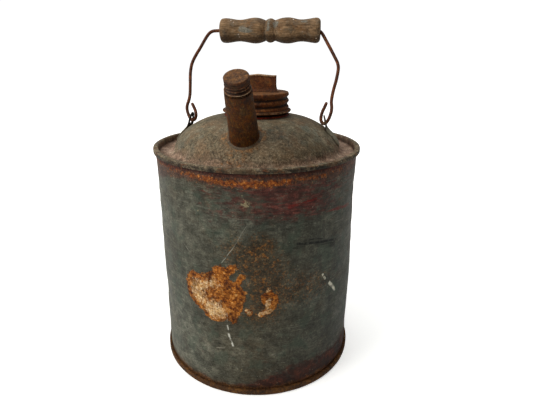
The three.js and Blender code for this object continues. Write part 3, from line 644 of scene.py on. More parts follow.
def mat_rust(name, seed, runs=None, foot=None, sat=1.45, gain=0.95, dark=(42, 25, 17), base=(70, 44, 31), light=(98, 66, 46), dusty=0.7, dust=(122, 92, 70), worn_and_glint_colour=(168, 146, 124), gloss=0.62, warm=0.4):
    """Old rust skin on fittings: blotches, a dusty top, worn bright edges that also stand in for glints (painted
    highlight), and near-black painted shade with some grime, both given by mesh attributes.
    """
    m = Mat(name, gain=gain, sat=sat)
    m.b.inputs["Specular IOR Level"].default_value = 0.18
    wide = m.noise(9, 5, 0.62, seed=seed)
    mid = m.noise(3.0, 6, 0.68, seed=seed + 1)
    fine = m.noise(0.8, 4, 0.7, seed=seed + 2)
    c = m.ramp(m.add(m.mul(wide, 0.5), m.mul(mid, 0.5)), [(0.37, dark), (0.5, base), (0.63, light)])
    c = m.mix(m.mul(m.rng(m.noise(3.6, 6, 0.7, seed=seed + 3), 0.48, 0.66), warm), c, (106, 60, 30))
    c = m.mix(m.mul(m.rng(m.noise(4.5, 5, 0.6, seed=seed + 4), 0.54, 0.68), 0.35), c, (72, 62, 46))
    if foot:
        c = m.mix(m.mul(m.rng(m.add(m.Z, m.mul(m.sub(mid, 0.5), 0.8)), foot + 0.25, foot - 0.25), 0.85), c, m.ramp(mid, [(0.36, (62, 18, 11)), (0.5, (94, 34, 22)), (0.62, (124, 62, 40))]))
    if runs:
        p = m.warp(m.P, 4, 0.8, seed)
        drip = m.noise((1.3, 1.3, 9), 6, 0.7, p=p, seed=seed + 7)
        c = m.mix(m.mul(m.rng(drip, 0.52, 0.66), runs), c, (92, 74, 46))
        c = m.mix(m.mul(m.rng(drip, 0.46, 0.34), runs), c, (30, 15, 8))
    up = m.rng(m.add(m.normal_z(), m.mul(m.sub(mid, 0.5), 0.9)), 0.45, 0.95)
    c = m.mix(m.mul(up, dusty), c, m.ramp(mid, [(0.36, tuple(int(x * 0.62) for x in dust)), (0.5, tuple(int(x * 0.9) for x in dust)), (0.62, tuple(int(x * 1.15) for x in dust))]))
    # pale worn edges and beads, which also stand in for glints: painted highlight with wear
    wear_and_painted_glint = m.rng(m.add(m.attr("wear_and_painted_glint"), m.mul(m.sub(m.noise(2.6, 5, 0.7, seed=seed + 5), 0.5), 1.3)), 0.55, 0.95)
    c = m.mix(m.mul(wear_and_painted_glint, 0.75), c, worn_and_glint_colour)
    c = m.mix(0.5, c, m.grey(m.rng(m.noise(2.2, 6, 0.78, seed=seed + 8), 0.32, 0.68, 0.12, 0.88)), "OVERLAY")
    # near-black in thread valleys, gaps, under rims and inside the fittings: painted shade with some grime
    c = m.mix(m.mul(m.attr("grime_and_painted_shade"), 0.92), c, (17, 9, 6))
    c = m.mix(0.7, c, m.grey(m.rng(fine, 0.3, 0.7, 0.15, 0.85)), "OVERLAY")
    speck = m.rng(m.noise(1.3, 3, 0.6, seed=seed + 6), 0.66, 0.72)
    c = m.mix(m.mul(speck, 0.55), c, (142, 112, 84))
    rough = m.sub(m.rng(mid, 0.3, 0.7, gloss - 0.08, gloss + 0.12), m.mul(wear_and_painted_glint, 0.2))
    n = m.bump(m.add(m.mul(mid, 0.9), m.mul(fine, 0.6)), 0.3, 1.0)
    return m.finish(c, rough, n, m.mul(wear_and_painted_glint, 0.5))


def mat_ear():
    m = Mat("dirty_strap_steel")
    m.b.inputs["Specular IOR Level"].default_value = 0.15
    mid = m.noise(3.4, 6, 0.68, seed=131)
    fine = m.noise(0.9, 4, 0.7, seed=132)
    c = m.ramp(m.add(m.mul(mid, 0.6), m.mul(fine, 0.4)), [(0.36, (46, 44, 36)), (0.5, (76, 73, 62)), (0.64, (100, 92, 76))])
    c = m.mix(m.mul(m.rng(m.noise(5, 5, 0.65, seed=133), 0.48, 0.62), 0.55), c, (92, 62, 42))
    # paler low on the strap, where it lies on the dome's flank: partly the dome's own colour, partly painted light on a
    # face in shade
    c = m.mix(m.mul(m.rng(m.Z, 202.0, 198.0), 0.85), c, m.ramp(fine, [(0.36, (108, 102, 84)), (0.62, (158, 150, 128))]))
    # near-black on the inner face of the tab: painted shadow with some dirt
    c = m.mix(m.mul(m.attr("grime_and_painted_shade"), 0.93), c, (17, 15, 12))
    n = m.bump(m.add(mid, m.mul(fine, 0.5)), 0.15, 0.8)
    return m.finish(c, m.rng(mid, 0.3, 0.7, 0.6, 0.8), n)


def mat_solder():
    m = Mat("dull_solder")
    m.b.inputs["Specular IOR Level"].default_value = 0.2
    mid = m.noise(4.5, 6, 0.66, seed=141)
    fine = m.noise(1.0, 4, 0.7, seed=142)
    c = m.ramp(m.add(m.mul(mid, 0.6), m.mul(fine, 0.4)), [(0.36, (56, 45, 33)), (0.5, (84, 72, 56)), (0.64, (106, 94, 76))])
    c = m.mix(m.mul(m.rng(m.noise(6, 5, 0.65, seed=143), 0.5, 0.64), 0.6), c, (104, 72, 44))
    c = m.mix(0.5, c, m.grey(m.rng(fine, 0.27, 0.73, 0.2, 0.8)), "OVERLAY")
    n = m.bump(m.add(mid, m.mul(fine, 0.4)), 0.2, 0.9)
    return m.finish(c, m.rng(mid, 0.3, 0.7, 0.5, 0.72), n, m.rng(mid, 0.3, 0.7, 0.25, 0.1))


def mat_wood():
    m = Mat("weathered_wood_grip", gain=1.06, sat=1.28)
    m.b.inputs["Specular IOR Level"].default_value = 0.18
    p = m.warp(m.P, 14, 0.8, 4)
    grain = m.noise((22, 1.0, 1.0), 6, 0.65, p=p, seed=151)
    fibre = m.noise((9, 0.45, 0.45), 4, 0.65, p=p, seed=152)
    wide = m.noise(11, 5, 0.6, seed=153)
    fine = m.noise(0.9, 4, 0.7, seed=154)
    c = m.ramp(m.add(m.mul(grain, 0.55), m.mul(wide, 0.45)), [(0.36, (66, 52, 38)), (0.46, (98, 80, 62)), (0.55, (128, 106, 84)), (0.66, (156, 134, 110))])
    c = m.mix(m.mul(m.rng(m.noise(8, 5, 0.6, seed=155), 0.52, 0.68), 0.45), c, (108, 76, 50))
    c = m.mix(m.mul(m.rng(m.noise(6, 6, 0.7, seed=171), 0.5, 0.64), 0.4), c, (112, 108, 98))
    c = m.mix(m.mul(m.rng(m.noise(4, 6, 0.75, seed=172), 0.46, 0.36), 0.5), c, (52, 40, 29))
    paint = m.rng(m.add(m.attr("paint"), m.mul(m.sub(m.noise((6, 3.5, 3.5), 6, 0.7, seed=156), 0.5), 1.5)), 0.5, 0.82)
    c = m.mix(m.mul(paint, 0.66), c, m.ramp(fine, [(0.35, (84, 88, 84)), (0.6, (128, 130, 122))]))
    # painted shade with some dirt: darker underside, grooves and bore
    c = m.mix(m.mul(m.attr("grime_and_painted_shade"), 0.75), c, (36, 25, 17))
    crack = m.rng(m.noise((30, 0.8, 0.8), 3, 0.5, p=p, seed=157), 0.36, 0.31)
    c = m.mix(m.mul(crack, 0.7), c, (40, 27, 18))
    d, _ = m.cells(4.4, p=m.P, seed=158)
    spot = m.mul(m.rng(d, 0.16, 0.07), m.rng(m.noise(8, 2, 0.5, seed=159), 0.52, 0.6))
    c = m.mix(m.mul(spot, 0.8), c, (206, 194, 182))
    c = m.mix(m.rng(m.attr("wht"), 0.4, 0.6), c, (226, 216, 208))
    c = m.mix(0.55, c, m.grey(m.rng(fibre, 0.28, 0.72, 0.2, 0.8)), "OVERLAY")
    c = m.mix(0.3, c, m.grey(m.rng(fine, 0.28, 0.72, 0.2, 0.8)), "OVERLAY")
    h = m.sub(m.add(m.mul(grain, 0.9), m.mul(fibre, 0.5)), m.mul(crack, 0.6))
    n = m.bump(h, 0.28, 0.9)
    return m.finish(c, m.rng(wide, 0.3, 0.7, 0.6, 0.8), n)


def mat_gasket():
    m = Mat("old_gasket")
    fine = m.noise(1.2, 5, 0.7, seed=161)
    c = m.ramp(fine, [(0.35, (30, 26, 23)), (0.65, (58, 50, 43))])
    return m.finish(c, m.rng(fine, 0.3, 0.7, 0.7, 0.9), m.bump(fine, 0.15, 0.8))


WALL, BREAST, BASE = mat_wall(), mat_breast(), mat_base()
EAR, SOLDER, WOOD, GASKET = mat_ear(), mat_solder(), mat_wood(), mat_gasket()
RUST_NECK = mat_rust("rusted_neck", 81, foot=211.2, dusty=0.2, dark=(44, 24, 15), base=(74, 46, 32), light=(102, 70, 50))
RUST_CAP = mat_rust("rusted_filler_cap", 91, base=(76, 47, 33), light=(104, 70, 49))
RUST_SPOUT = mat_rust("rusted_spout", 101, runs=0.55, dark=(36, 20, 12), base=(60, 36, 21), light=(84, 54, 30), dusty=0.2, warm=0.22)
RUST_SCAP = mat_rust("rusted_spout_cap", 111, sat=1.3, base=(66, 42, 29), light=(96, 66, 46), dusty=0.75, dust=(118, 88, 64))
RUST_WIRE = mat_rust("rusted_bail_wire", 121, dark=(48, 29, 22), base=(78, 49, 37), light=(108, 70, 52), dusty=0.25, gloss=0.5)


def place(o, body, slot, mat, *nodes):
    o.data.materials.clear()
    o.data.materials.append(mat)
    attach(o, body)
    if nodes:
        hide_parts(*nodes)
    return o


# ---------------------------------------------------------------- dimensions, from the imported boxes
def mm(v):
    return [float(x) * 1000.0 for x in v]


WALL_LO, WALL_HI = (mm(v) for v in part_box("body_wall"))
END_LO, END_HI = (mm(v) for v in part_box("bottom_end"))
TOP_LO, TOP_HI = (mm(v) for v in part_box("dome_top"))
SEAM_R = END_HI[0]
CAN_H = 186.5
WALL_R = WALL_HI[0]
SHEET = 0.6
SEAM_H = END_HI[2]
LEDGE_Z = 181.5


def dome_z(r, off=0.0):
    a, b = 67.9 + off, 31.8 + off
    q = np.minimum(1.0, np.asarray(r, float) / a)
    return LEDGE_Z + b * np.sqrt(1 - q * q) - 1.5 * sm((45 - np.asarray(r, float)) / 20)


# ---------------------------------------------------------------- body wall
def wall_dents(s, z):
    """Inward and outward waves of the sheet, in mm. s runs round the wall from the front, to the right."""
    p = np.stack([81.9 * np.cos(s / 81.9), 81.9 * np.sin(s / 81.9), z], 1)
    d = 0.55 * fbm(p, 42, 5, 2) + 0.22 * fbm(p, 15, 9, 2) + 0.05 * fbm(p, 6, 12, 2) + 0.25

    def dip(s0, z0, ws, wz, depth, turn=0.0):
        ds = (s - s0 + 257.3) % 514.6 - 257.3
        dz = z - z0
        c, q = math.cos(rad(turn)), math.sin(rad(turn))
        u, v = ds * c + dz * q, -ds * q + dz * c
        return depth * np.exp(-((u / ws) ** 2 + (v / wz) ** 2))

    # measured swell of the two flanks
    zl = [0, 19, 26, 32, 39, 45, 51, 57, 63, 75, 81, 93, 99, 104, 110, 121, 126, 132, 137, 142, 148, 153, 158, 163, 168, 173, 178, 181, 186]
    rl = [0.1, 0.34, 0.08, 0.12, 0.16, 0.32, 0.43, 0.05, 0.09, 0.28, 0.24, 0.19, 0.3, 0.03, -0.04, 0.2, -0.12, -0.16, -0.03, 0.21, -0.09, 0.25, 0.0, 0.19, 0.22, 0.36, 0.52, 0.9, 0.9]
    zr = [0, 17, 23, 30, 36, 43, 49, 55, 61, 67, 74, 80, 85, 91, 97, 103, 108, 114, 119, 125, 130, 136, 141, 146, 152, 157, 162, 167, 172, 177, 186]
    rr = [0.1, 0.13, -0.13, -0.16, 0.04, 0.23, 0.36, 0.47, 0.55, 0.62, 0.78, 0.69, 0.68, 0.42, 0.34, 0.12, 0.22, -0.03, -0.40, -0.23, -0.26, -0.38, -0.62, -0.83, -0.45, -0.75, -0.45, -0.16, -0.05, 0.01, 0.2]
    dl = (s + 95) / 30.0
    dr = (s - 124) / 26.0
    kl, kr = np.exp(-dl * dl), np.exp(-dr * dr)
    d = d * (1 - 0.85 * kl) * (1 - 0.85 * kr) + kl * np.interp(z, zl, rl) + kr * np.interp(z, zr, rr)
    d += dip(24, 141, 15, 12, -2.4, 25)
    d += dip(10, 146, 2.4, 13, 0.6, -30)
    d += dip(6, 150, 3.5, 14, -0.35, -28)
    d += dip(-88, 62, 22, 15, -0.5)
    d += dip(64, 126, 22, 3.0, -0.4, -8)
    d += dip(-30, 40, 22, 10, -0.4, 20)
    d += dip(-170, 120, 22, 17, -1.0, 30)
    d += dip(190, 70, 26, 13, -0.9, -15)
    return np.minimum(d, 1.0) * ramp01(z, 4.5, 9) * ramp01(z, 182.6, 180.6)


def seam_rib(s, z):
    """Height of the grooved lock seam at the back."""
    t = (s + 257.3 + 257.3) % 514.6 - 257.3
    rib = 0.78 * ramp01(np.abs(t), 3.15, 2.65)
    crease = -0.18 * np.exp(-(((t - 3.5) / 0.35) ** 2))
    return (rib + crease) * ramp01(z, 4.0, 4.6) * ramp01(z, 182.5, 181.9)


def body_wall():
    base = np.linspace(-180, 180, 480, endpoint=False)
    extra = [-179.85, 179.85, 177.6, 177.72, 177.84, 177.96, 178.1, 178.25, -177.6, -177.72, -177.84, -177.96, -178.1, -178.25, 177.45, -177.45]
    th_f = np.sort(np.unique(np.round(np.concatenate([base, extra]), 4)))
    th_f = th_f[(np.abs(th_f) < 179.9) | (th_f == -180.0)]
    keep = [th_f[0]]
    for t in th_f[1:]:
        if t - keep[-1] > 0.1:
            keep.append(t)
    th_f = np.array(keep)
    z0, z1 = WALL_LO[2], WALL_HI[2]
    zs = np.concatenate([[z0, 2.6, 4.0, 4.4, 4.8], np.linspace(6.2, 181.4, 104), [181.9, 182.2, 182.6, 184.0, z1]])
    zi = [z1, 181, 172, 160, 145, 130, 115, 100, 85, 70, 55, 40, 28, 16, 8, z0]
    rows = [(z, 0.0) for z in zs] + [(z, SHEET) for z in zi]
    nu, nv = len(th_f), len(rows)
    th = np.tile(rad(1) * th_f, nv)
    z = np.repeat([r[0] for r in rows], nu)
    inner = np.repeat([r[1] for r in rows], nu)
    s = 81.9 * th
    r = 81.9 - inner + wall_dents(s, z) + np.where(inner > 0, 0, seam_rib(s, z))
    v = np.stack([r * np.sin(th), -r * np.cos(th), z], 1)
    p = np.stack([s, z], 1)
    P3 = np.stack([82 * np.sin(th), -82 * np.cos(th), z], 1)
    a = {"s": s}
    big = [(-46.2, 92), (-43.3, 99), (-36.9, 103.7), (-32.7, 102.4), (-28.5, 103.5), (-22.3, 106.6), (-19.6, 109.3), (-17.9, 112.9), (-12.9, 113.4), (-10, 112.2),
           (-6.2, 114.3), (-1.3, 115.8), (-0.2, 112.6), (-1.9, 108.4), (-5, 106.1), (-6.5, 102.8), (-3.8, 99.5), (-1.4, 101.9), (1, 107.7), (4.7, 107.4), (5.5, 104.9),
           (2.7, 101.2), (0.8, 97.9), (3.5, 95), (7.2, 92.6), (5.3, 87.8), (4.2, 82.5), (2.3, 76.9), (0.3, 71.3), (-1.8, 65.6), (-5.2, 64), (-7.6, 67), (-11.6, 66.8),
           (-16.8, 63.9), (-21.1, 64.5), (-24.4, 65.8), (-27.7, 68.1), (-29.9, 71.3), (-35.9, 73.7), (-40.4, 76.5), (-43.6, 79.7), (-45.3, 85.7)]
    cream = [(-41, 93.9), (-34.2, 98.2), (-24.8, 99.8), (-18.3, 102.9), (-14.5, 97.9), (-15.6, 94.6), (-23, 92.9), (-27.8, 87.3), (-25.8, 82.5), (-19.2, 83.1),
             (-13, 82.3), (-8.8, 74.4), (-9.5, 68.8), (-16.8, 65), (-24.3, 66.9), (-29.7, 73.6), (-36.9, 77.8), (-40.5, 83.1), (-42.9, 87.7)]
    small = [(21.7, 97.1), (23.6, 94.9), (27.3, 90.3), (30.1, 85.8), (29.2, 81.6), (26.4, 77.7), (23.6, 74.7), (19.9, 73.9), (15.2, 71.4), (13.9, 74.1), (15.3, 77.3),
             (19.9, 78.2), (19, 82.6), (16.7, 86.9), (16.2, 90.1), (19.4, 92.5)]
    chip = [(4.6, 78.4), (9.4, 77.6), (10.2, 74.0), (7.4, 72.8), (5.0, 75.4)]
    a["patch"] = np.maximum.reduce([soft(sd_poly(p, big), 3.2), soft(sd_poly(p, small), 2.2), 1.0 * soft(sd_poly(p, chip) - 0.5, 1.4),
                                    0.9 * soft(np.hypot((p[:, 0] + 150) / 1.4, p[:, 1] - 48) - 7, 4), 0.9 * soft(np.hypot((p[:, 0] - 178) / 1.7, p[:, 1] - 118) - 6, 4)])
    spots = [(22.6, 95.8, 1.6), (21.5, 82.4, 2.4), (22.6, 86.6, 1.2), (15.2, 74.4, 1.8), (19.9, 75.8, 1.9), (23.2, 77.0, 1.9), (8.2, 75.4, 1.7), (5.6, 77.4, 1.2), (20.8, 93.4, 1.2), (18.0, 74.9, 1.6), (21.6, 79.2, 1.6)]
    cr = soft(sd_poly(p, cream), 5.0)
    for x, y, q in spots:
        cr = np.maximum(cr, 1.2 * soft(np.hypot(p[:, 0] - x, p[:, 1] - y) - q, 1.4))
    a["cream"] = cr
    stain = [(-11.4, 126.7), (-0.2, 134.6), (12.1, 136), (24.3, 133.7), (29.8, 116.6), (39.4, 107.2), (41.8, 87.9), (34, 79.8), (24.6, 69.1), (11.5, 65.4), (4, 66.2),
             (5.2, 81.4), (8.1, 93.2), (1, 107.2), (-2.4, 116.9)]
    a["stain"] = np.maximum.reduce([soft(sd_poly(p, stain), 13), 0.75 * soft(np.hypot((p[:, 0] - 45) / 2.0, p[:, 1] - 92) - 14, 14),
                                    0.7 * soft(np.hypot((p[:, 0] + 160) / 1.6, p[:, 1] - 60) - 16, 12), 0.7 * soft(np.hypot((p[:, 0] - 190) / 1.6, p[:, 1] - 110) - 18, 12)])
    # paint: a broken band under the seam, stronger to the right
    band = ramp01(z, 142, 168) * ramp01(z, 186, 172)
    turn = 0.62 + 0.38 * np.sin(s / 81.9 * 1.0 + 0.2) + 0.15 * np.sin(s / 81.9 * 3 + 1.0)
    mar = 0.60 * band * np.clip(turn, 0, 1.1) * (1 - 0.5 * np.exp(-(((s + 50) / 22) ** 2)))
    mar = np.maximum(mar, 0.98 * soft(sd_poly(p, [(20, 174), (31, 175), (48, 174), (68, 176), (108, 172), (110, 168), (76, 169), (66, 166), (60, 160), (54, 157), (40, 157), (30, 155.5), (21, 157), (23, 163)]), 11))
    mar = np.maximum(mar, 0.85 * soft(sd_poly(p, [(-19, 173), (-8, 176), (-3, 172), (-7, 163), (-9, 157), (-13, 158), (-16, 164)]), 7))
    veil = np.exp(-(((s - 34) / 62) ** 2)) * ramp01(z, 138, 156) * ramp01(z, 182, 172)
    mar = np.maximum(mar, 1.0 * veil)
    mar = np.maximum(mar, 0.75 * soft(np.hypot((p[:, 0] - 18) / 1.3, p[:, 1] - 31) - 3, 3.0))
    mar = np.maximum(mar, 0.75 * soft(np.hypot((p[:, 0] - 5) / 1.5, p[:, 1] - 40) - 1.5, 3.0))
    mar = np.maximum(mar, 0.7 * soft(np.hypot((p[:, 0] + 34) / 1.6, p[:, 1] - 31) - 1.5, 3.0))
    a["maroon"] = mar
    red = 1.0 * soft(sd_line(p, [(68, 148.5), (76, 149), (88, 147.8), (101, 146.5)]) - 1.4, 1.8)
    red = np.maximum(red, 0.8 * soft(sd_line(p, [(45, 152.8), (57, 151.8)]) - 0.5, 1.3))
    red = np.maximum(red, 0.85 * soft(sd_line(p, [(36, 158), (47, 160), (58, 162)]) - 1.6, 2.4))
    red = np.maximum(red, 0.8 * soft(sd_line(p, [(62, 168), (78, 172), (104, 174)]) - 1.2, 2.0))
    a["red"] = red
    # orange: strongest at the front, thinner round the sides
    front = np.exp(-((s - 8) / 40.0) ** 2)
    around = 0.35 + 0.25 * np.sin(s / 81.9 * 2 + 2.0)
    reach = 2.6 + 6.0 * front + 2.2 * around
    mid_z = 179.6 - 0.42 * reach + 1.3 * ramp01(s, 10, -40) * ramp01(s, -170, -110)
    a["orange"] = np.exp(-((z - mid_z) / (1.9 + 0.27 * reach)) ** 2) * np.clip(0.56 + 0.38 * front + 0.25 * around, 0, 0.98)
    lump = np.maximum.reduce([soft(np.hypot((p[:, 0] + 9.5) / 1.5, p[:, 1] - 175.4) - 1.2, 2.4), soft(np.hypot((p[:, 0] - 13) / 2.4, p[:, 1] - 174.6) - 1.7, 3.0),
                              soft(np.hypot((p[:, 0] + 38) / 1.6, p[:, 1] - 178.6) - 0.6, 2.4), soft(np.hypot((p[:, 0] - 36) / 2.6, p[:, 1] - 177.4) - 0.6, 2.4)])
    a["orange"] = np.maximum(a["orange"], lump)
    left = np.exp(-(((s + 92) / 26) ** 2))
    a["topband"] = np.clip(0.5 - (173.5 - 9 * left - z) / 9.0, 0, 1) * 0.9
    # rust climbing from the foot, higher to the right
    hgt = 8 + 17 * ramp01(s, -10, 50) * ramp01(s, 190, 120) + 4 * np.sin(s / 81.9 * 3 + 1) * ramp01(np.abs(s), 130, 160)
    a["low"] = np.clip(0.5 - (z - hgt) / 11.0, 0, 1)
    a["pale"] = np.maximum.reduce([soft(np.hypot((p[:, 0] - 6) / 1.3, p[:, 1] - 161) - 2.6, 3.0), 0.85 * soft(np.hypot(p[:, 0] + 30, p[:, 1] - 152.6) - 0.8, 2.0),
                                   0.85 * soft(np.hypot(p[:, 0] + 31.6, p[:, 1] - 145.5) - 0.8, 2.0), 0.8 * soft(np.hypot(p[:, 0] - 1, p[:, 1] - 23) - 1.5, 2.5),
                                   0.7 * soft(np.hypot((p[:, 0] - 4) / 2, p[:, 1] - 168) - 1.5, 4)])
    blk = np.maximum.reduce([soft(sd_line(p, [(17.5, 153.8), (24.5, 152.2)]) - 0.5, 1.2), soft(np.hypot(p[:, 0] - 27.8, p[:, 1] - 140.1) - 0.45, 1.0),
                             soft(np.hypot((p[:, 0] - 71), (p[:, 1] - 166) / 1.8) - 1.0, 1.8), 0.8 * soft(np.hypot((p[:, 0] + 43) / 1.3, p[:, 1] - 169.6) - 0.9, 1.6),
                             0.7 * soft(np.hypot(p[:, 0] + 34, p[:, 1] - 150) - 0.5, 1.2), 0.75 * soft(np.hypot(p[:, 0] - 72, p[:, 1] - 162.5) - 0.6, 1.2)])
    a["blk"] = blk
    a["wht"] = np.maximum.reduce([soft(np.hypot((p[:, 0] - 46.2) / 1.5, p[:, 1] - 158.4) - 0.5, 0.9), soft(np.hypot(p[:, 0] - 54.7, p[:, 1] - 155.6) - 0.4, 0.9),
                                  0.8 * soft(np.hypot(p[:, 0] - 10.5, p[:, 1] - 163.5) - 0.3, 0.9)])
    t = (s + 514.6) % 514.6 - 257.3
    a["lock"] = np.exp(-(((np.abs(t) - 3.3) / 0.45) ** 2)) * ramp01(z, 4.0, 6.0) * ramp01(z, 182.5, 181.0) * (0.75 + 0.25 * fbm(P3, 9, 77, 2))
    # painted light: paler low on the left and in a band up the left flank, where the light falls
    a["lift"] = np.clip(np.exp(-(((s + 62) / 42) ** 2)) * ramp01(z, 90, 40) + 0.7 * np.exp(-(((s + 80) / 30) ** 2)) * ramp01(z, 178, 150) * ramp01(z, 110, 140), 0, 1)
    # painted shade: darker on the right flank below the seam, away from the light
    a["shade"] = np.exp(-(((s - 76) / 60) ** 2)) * ramp01(z, 175, 150)
    a["warm"] = np.clip(0.5 + 0.5 * fbm(P3, 60, 40, 2) + 0.5 * np.exp(-(((s - 15) / 45) ** 2)) * ramp01(z, 150, 120) - 0.2, 0, 1)
    o = build("visual_body_wall", v, [grid(nu, nv)], a, sharp=40)
    return place(o, "can", "galvanised_body", WALL, "body_wall")


body_wall()


# ---------------------------------------------------------------- bottom end with its double seam
def bottom_end():
    so, hook, leg = SEAM_R, SEAM_H, 82.2
    prof = [(0, 4.3)] + [(r, 4.3) for r in (10, 20, 30, 40, 50, 60, 68, 70, 71, 72, 74, 77, 78.6)] + [(79.3, 4.2), (79.9, 3.9), (80.3, 3.4), (80.4, 2.8), (80.4, 0.9)]
    prof += arc(81.3, 0.9, 0.9, 180, 270, 4)[1:] + [(82.4, 0.0), (83.0, 0.02)] + arc(83.15, 1.0, 1.0, 270, 360, 5)[1:]
    prof += [(so, 1.8), (so - 0.04, 2.5)] + arc(so - 0.55, hook - 0.5, 0.5, 0, 90, 4) + [(leg + 0.3, hook), (leg, hook - 0.1), (leg, 0.7), (81.0, 0.6), (81.0, 4.1), (80.4, 4.9), (79, 4.9), (0, 4.9)]

    def shape(r, z, t):
        p = np.stack([84 * np.cos(t), 84 * np.sin(t), z], 1)
        w = 0.12 * fbm(p, 13, 61, 2) + 0.06 * fbm(p, 4, 62, 2)
        outer = ramp01(r, 82.6, 83.6)
        r = r + np.where(outer > 0, np.minimum(w, 0.12) * outer, 0)
        # pressed ring in the panel, and a slight sag towards the middle
        z = z + np.where((r < 79), 0.7 * np.exp(-(((r - 71.5) / 1.2) ** 2)) - 0.35 * ramp01(r, 60, 0), 0) + np.where((z > 2.9) & (outer > 0), 0.10 * fbm(p, 9, 63, 2) * outer, 0)
        return r, np.maximum(z, 0.0)

    v, f, r, z, t = lathe(refine(prof, 6.0, closed=False), 360, shape)
    o = build("visual_bottom_end", v, f)
    return place(o, "can", "galvanised_end", BASE, "bottom_end")


bottom_end()


# ---------------------------------------------------------------- domed breast, ledge and upper seam
SPOUT_Y, SPOUT_Z, SPOUT_T = -52.2, 201.84, 28.0
SPOUT_M = transform(0, SPOUT_Y, SPOUT_Z, SPOUT_T)
SPOUT_DIR = np.array([0, -math.sin(rad(SPOUT_T)), math.cos(rad(SPOUT_T))])


def breast():
    so, H = SEAM_R, CAN_H
    prof = [(so, H - 2.9), (so + 0.0, H - 1.9)] + arc(so - 1.0, H - 1.0, 1.0, 0, 90, 6) + [(so - 1.7, H + 0.0), (so - 2.5, H - 0.02)] + arc(81.2, H - 0.8, 0.8, 90, 180, 5)
    prof += [(80.38, H - 2.0), (80.3, LEDGE_Z + 1.2), (80.1, LEDGE_Z + 0.6), (79.7, LEDGE_Z + 0.2), (79.1, LEDGE_Z)]
    prof += [(77.5, LEDGE_Z), (75.5, LEDGE_Z), (74.0, LEDGE_Z), (73.0, LEDGE_Z), (72.0, 181.6), (71.2, 181.85), (70.4, 182.2), (69.4, 182.85), (68.6, 183.6), (68.05, 184.4), (67.6, 185.4), (67.25, 186.3), (67.0, 187.3)]
    for r in [66.6, 66.0, 65.2, 64.2, 63.0, 61.5, 60, 58, 56, 54, 52, 50, 48, 46, 44, 42, 40, 38, 36, 34, 32, 30, 28, 26.2, 24.4]:
        prof.append((r, float(dome_z(r))))
    for r in [24.4, 28, 32, 36, 40, 44, 48, 52, 56, 59, 61.5, 63.4]:
        prof.append((r, float(dome_z(r, -0.6))))
    prof += [(65.2, 189.2), (66.4, 187.0), (67.2, 184.6), (69.4, 181.9), (72.6, 180.9), (80.5, 180.9), (81.0, 181.4), (81.0, H - 0.9), (81.4, H - 0.6), (81.9, H - 0.6), (82.2, H - 0.9), (82.2, H - 3.3), (82.4, H - 3.4), (so - 0.6, H - 3.4), (so - 0.15, H - 3.25)]
    prof = refine(prof, 2.2)

    def shape(r, z, t):
        p = np.stack([r * np.cos(t), r * np.sin(t), z], 1)
        q = np.stack([84 * np.cos(t), 84 * np.sin(t), 0 * z], 1)
        free = ramp01(r, 24.6, 30) * ramp01(r, 73, 66)
        dz = free * (0.16 * fbm(p, 30, 21, 2) + 0.08 * fbm(p, 9, 22, 2))
        # a faint pressed ring where the spout is let in
        P = np.stack([p[:, 0], p[:, 1] - SPOUT_Y, z - SPOUT_Z], 1)
        al = P @ SPOUT_DIR
        rr = np.sqrt(np.maximum((P ** 2).sum(1) - al ** 2, 0))
        near = (np.abs(al) < 14) & (p[:, 1] < -30)
        dz = dz + np.where(near, 0.38 * np.exp(-(((rr - 14.3) / 1.3) ** 2)) - 0.30 * np.exp(-(((rr - 17.4) / 1.6) ** 2)), 0) * free
        ledge = ramp01(r, 70, 73.5) * ramp01(r, 80.2, 79)
        dz = dz + ledge * (0.14 * fbm(q, 20, 23, 2))
        rimm = ramp01(r, 80.0, 80.6)
        up = ramp01(z, 182.5, 185)
        dz = dz + rimm * up * np.minimum(0.22 * fbm(q, 22, 24, 2) + 0.10 * fbm(q, 6, 25, 2), 0.0) - rimm * (1 - up) * 0.10 * fbm(q, 7, 27, 2) * ramp01(r, 83.2, 84)
        dr = ramp01(r, 82.6, 83.6) * (0.3 + np.minimum(0.16 * fbm(q, 15, 26, 2) + 0.06 * fbm(q, 4, 28, 2), 0.0))
        away = np.exp(-(((np.degrees(t) + 90 + 75 + 180) % 360 - 180) / 32.0) ** 2)
        dz = dz + rimm * ramp01(z, 185.2, 186.2) * 0.6 * away
        return r + dr, z + dz

    v, f, r, z, t = lathe(prof, 360, shape)
    P = v - np.array([0, SPOUT_Y, SPOUT_Z])
    al = P @ SPOUT_DIR
    rr = np.sqrt(np.maximum((P ** 2).sum(1) - al ** 2, 0))
    bleed = 0.62 * np.exp(-(((rr - 12) / 9.0) ** 2)) * (v[:, 1] < -30)
    below = np.exp(-((v[:, 0] + 4) / 22.0) ** 2) * ramp01(v[:, 1], -56, -66) * ramp01(v[:, 1], -80, -74)
    neck = 0.5 * np.exp(-(((np.hypot(v[:, 0], v[:, 1]) - 27) / 4.0) ** 2))
    wet = 0.45 * np.exp(-(((v[:, 0] - 14) / 9.0) ** 2)) * ramp01(v[:, 1], -60, -45) * (v[:, 1] < -25)
    a = {"rim": ramp01(r, 80.1, 80.9) * (z > 180.5), "bleed": np.clip(np.maximum.reduce([bleed, 0.62 * below, neck, wet]), 0, 1),
         "recess": ramp01(r, 79.2, 80.3) * ramp01(z, 185.6, 183.6) * (r < 80.7)}
    o = build("visual_dome_top", v, f, a)
    # the round opening under the spout
    cv, cf, *_ = lathe([(0, -15), (9.2, -15), (9.2, 15), (0, 15)], 48)
    cut = build("cutter_spout", cv, cf, transform=SPOUT_M)
    boolean(o, cut)
    return place(o, "can", "galvanised_dome", BREAST, "dome_top")


breast()

# ---------------------------------------------------------------- filler neck, its solder, cap and wing
PITCH, DEPTH, CREST = 5.08, 1.0, 221.385
NECK_TOP = 225.9
CAP_TOP = 228.2


def helix(crest, pitch, z, t):
    return np.cos(2 * PI * ((z - crest) / pitch) - t)


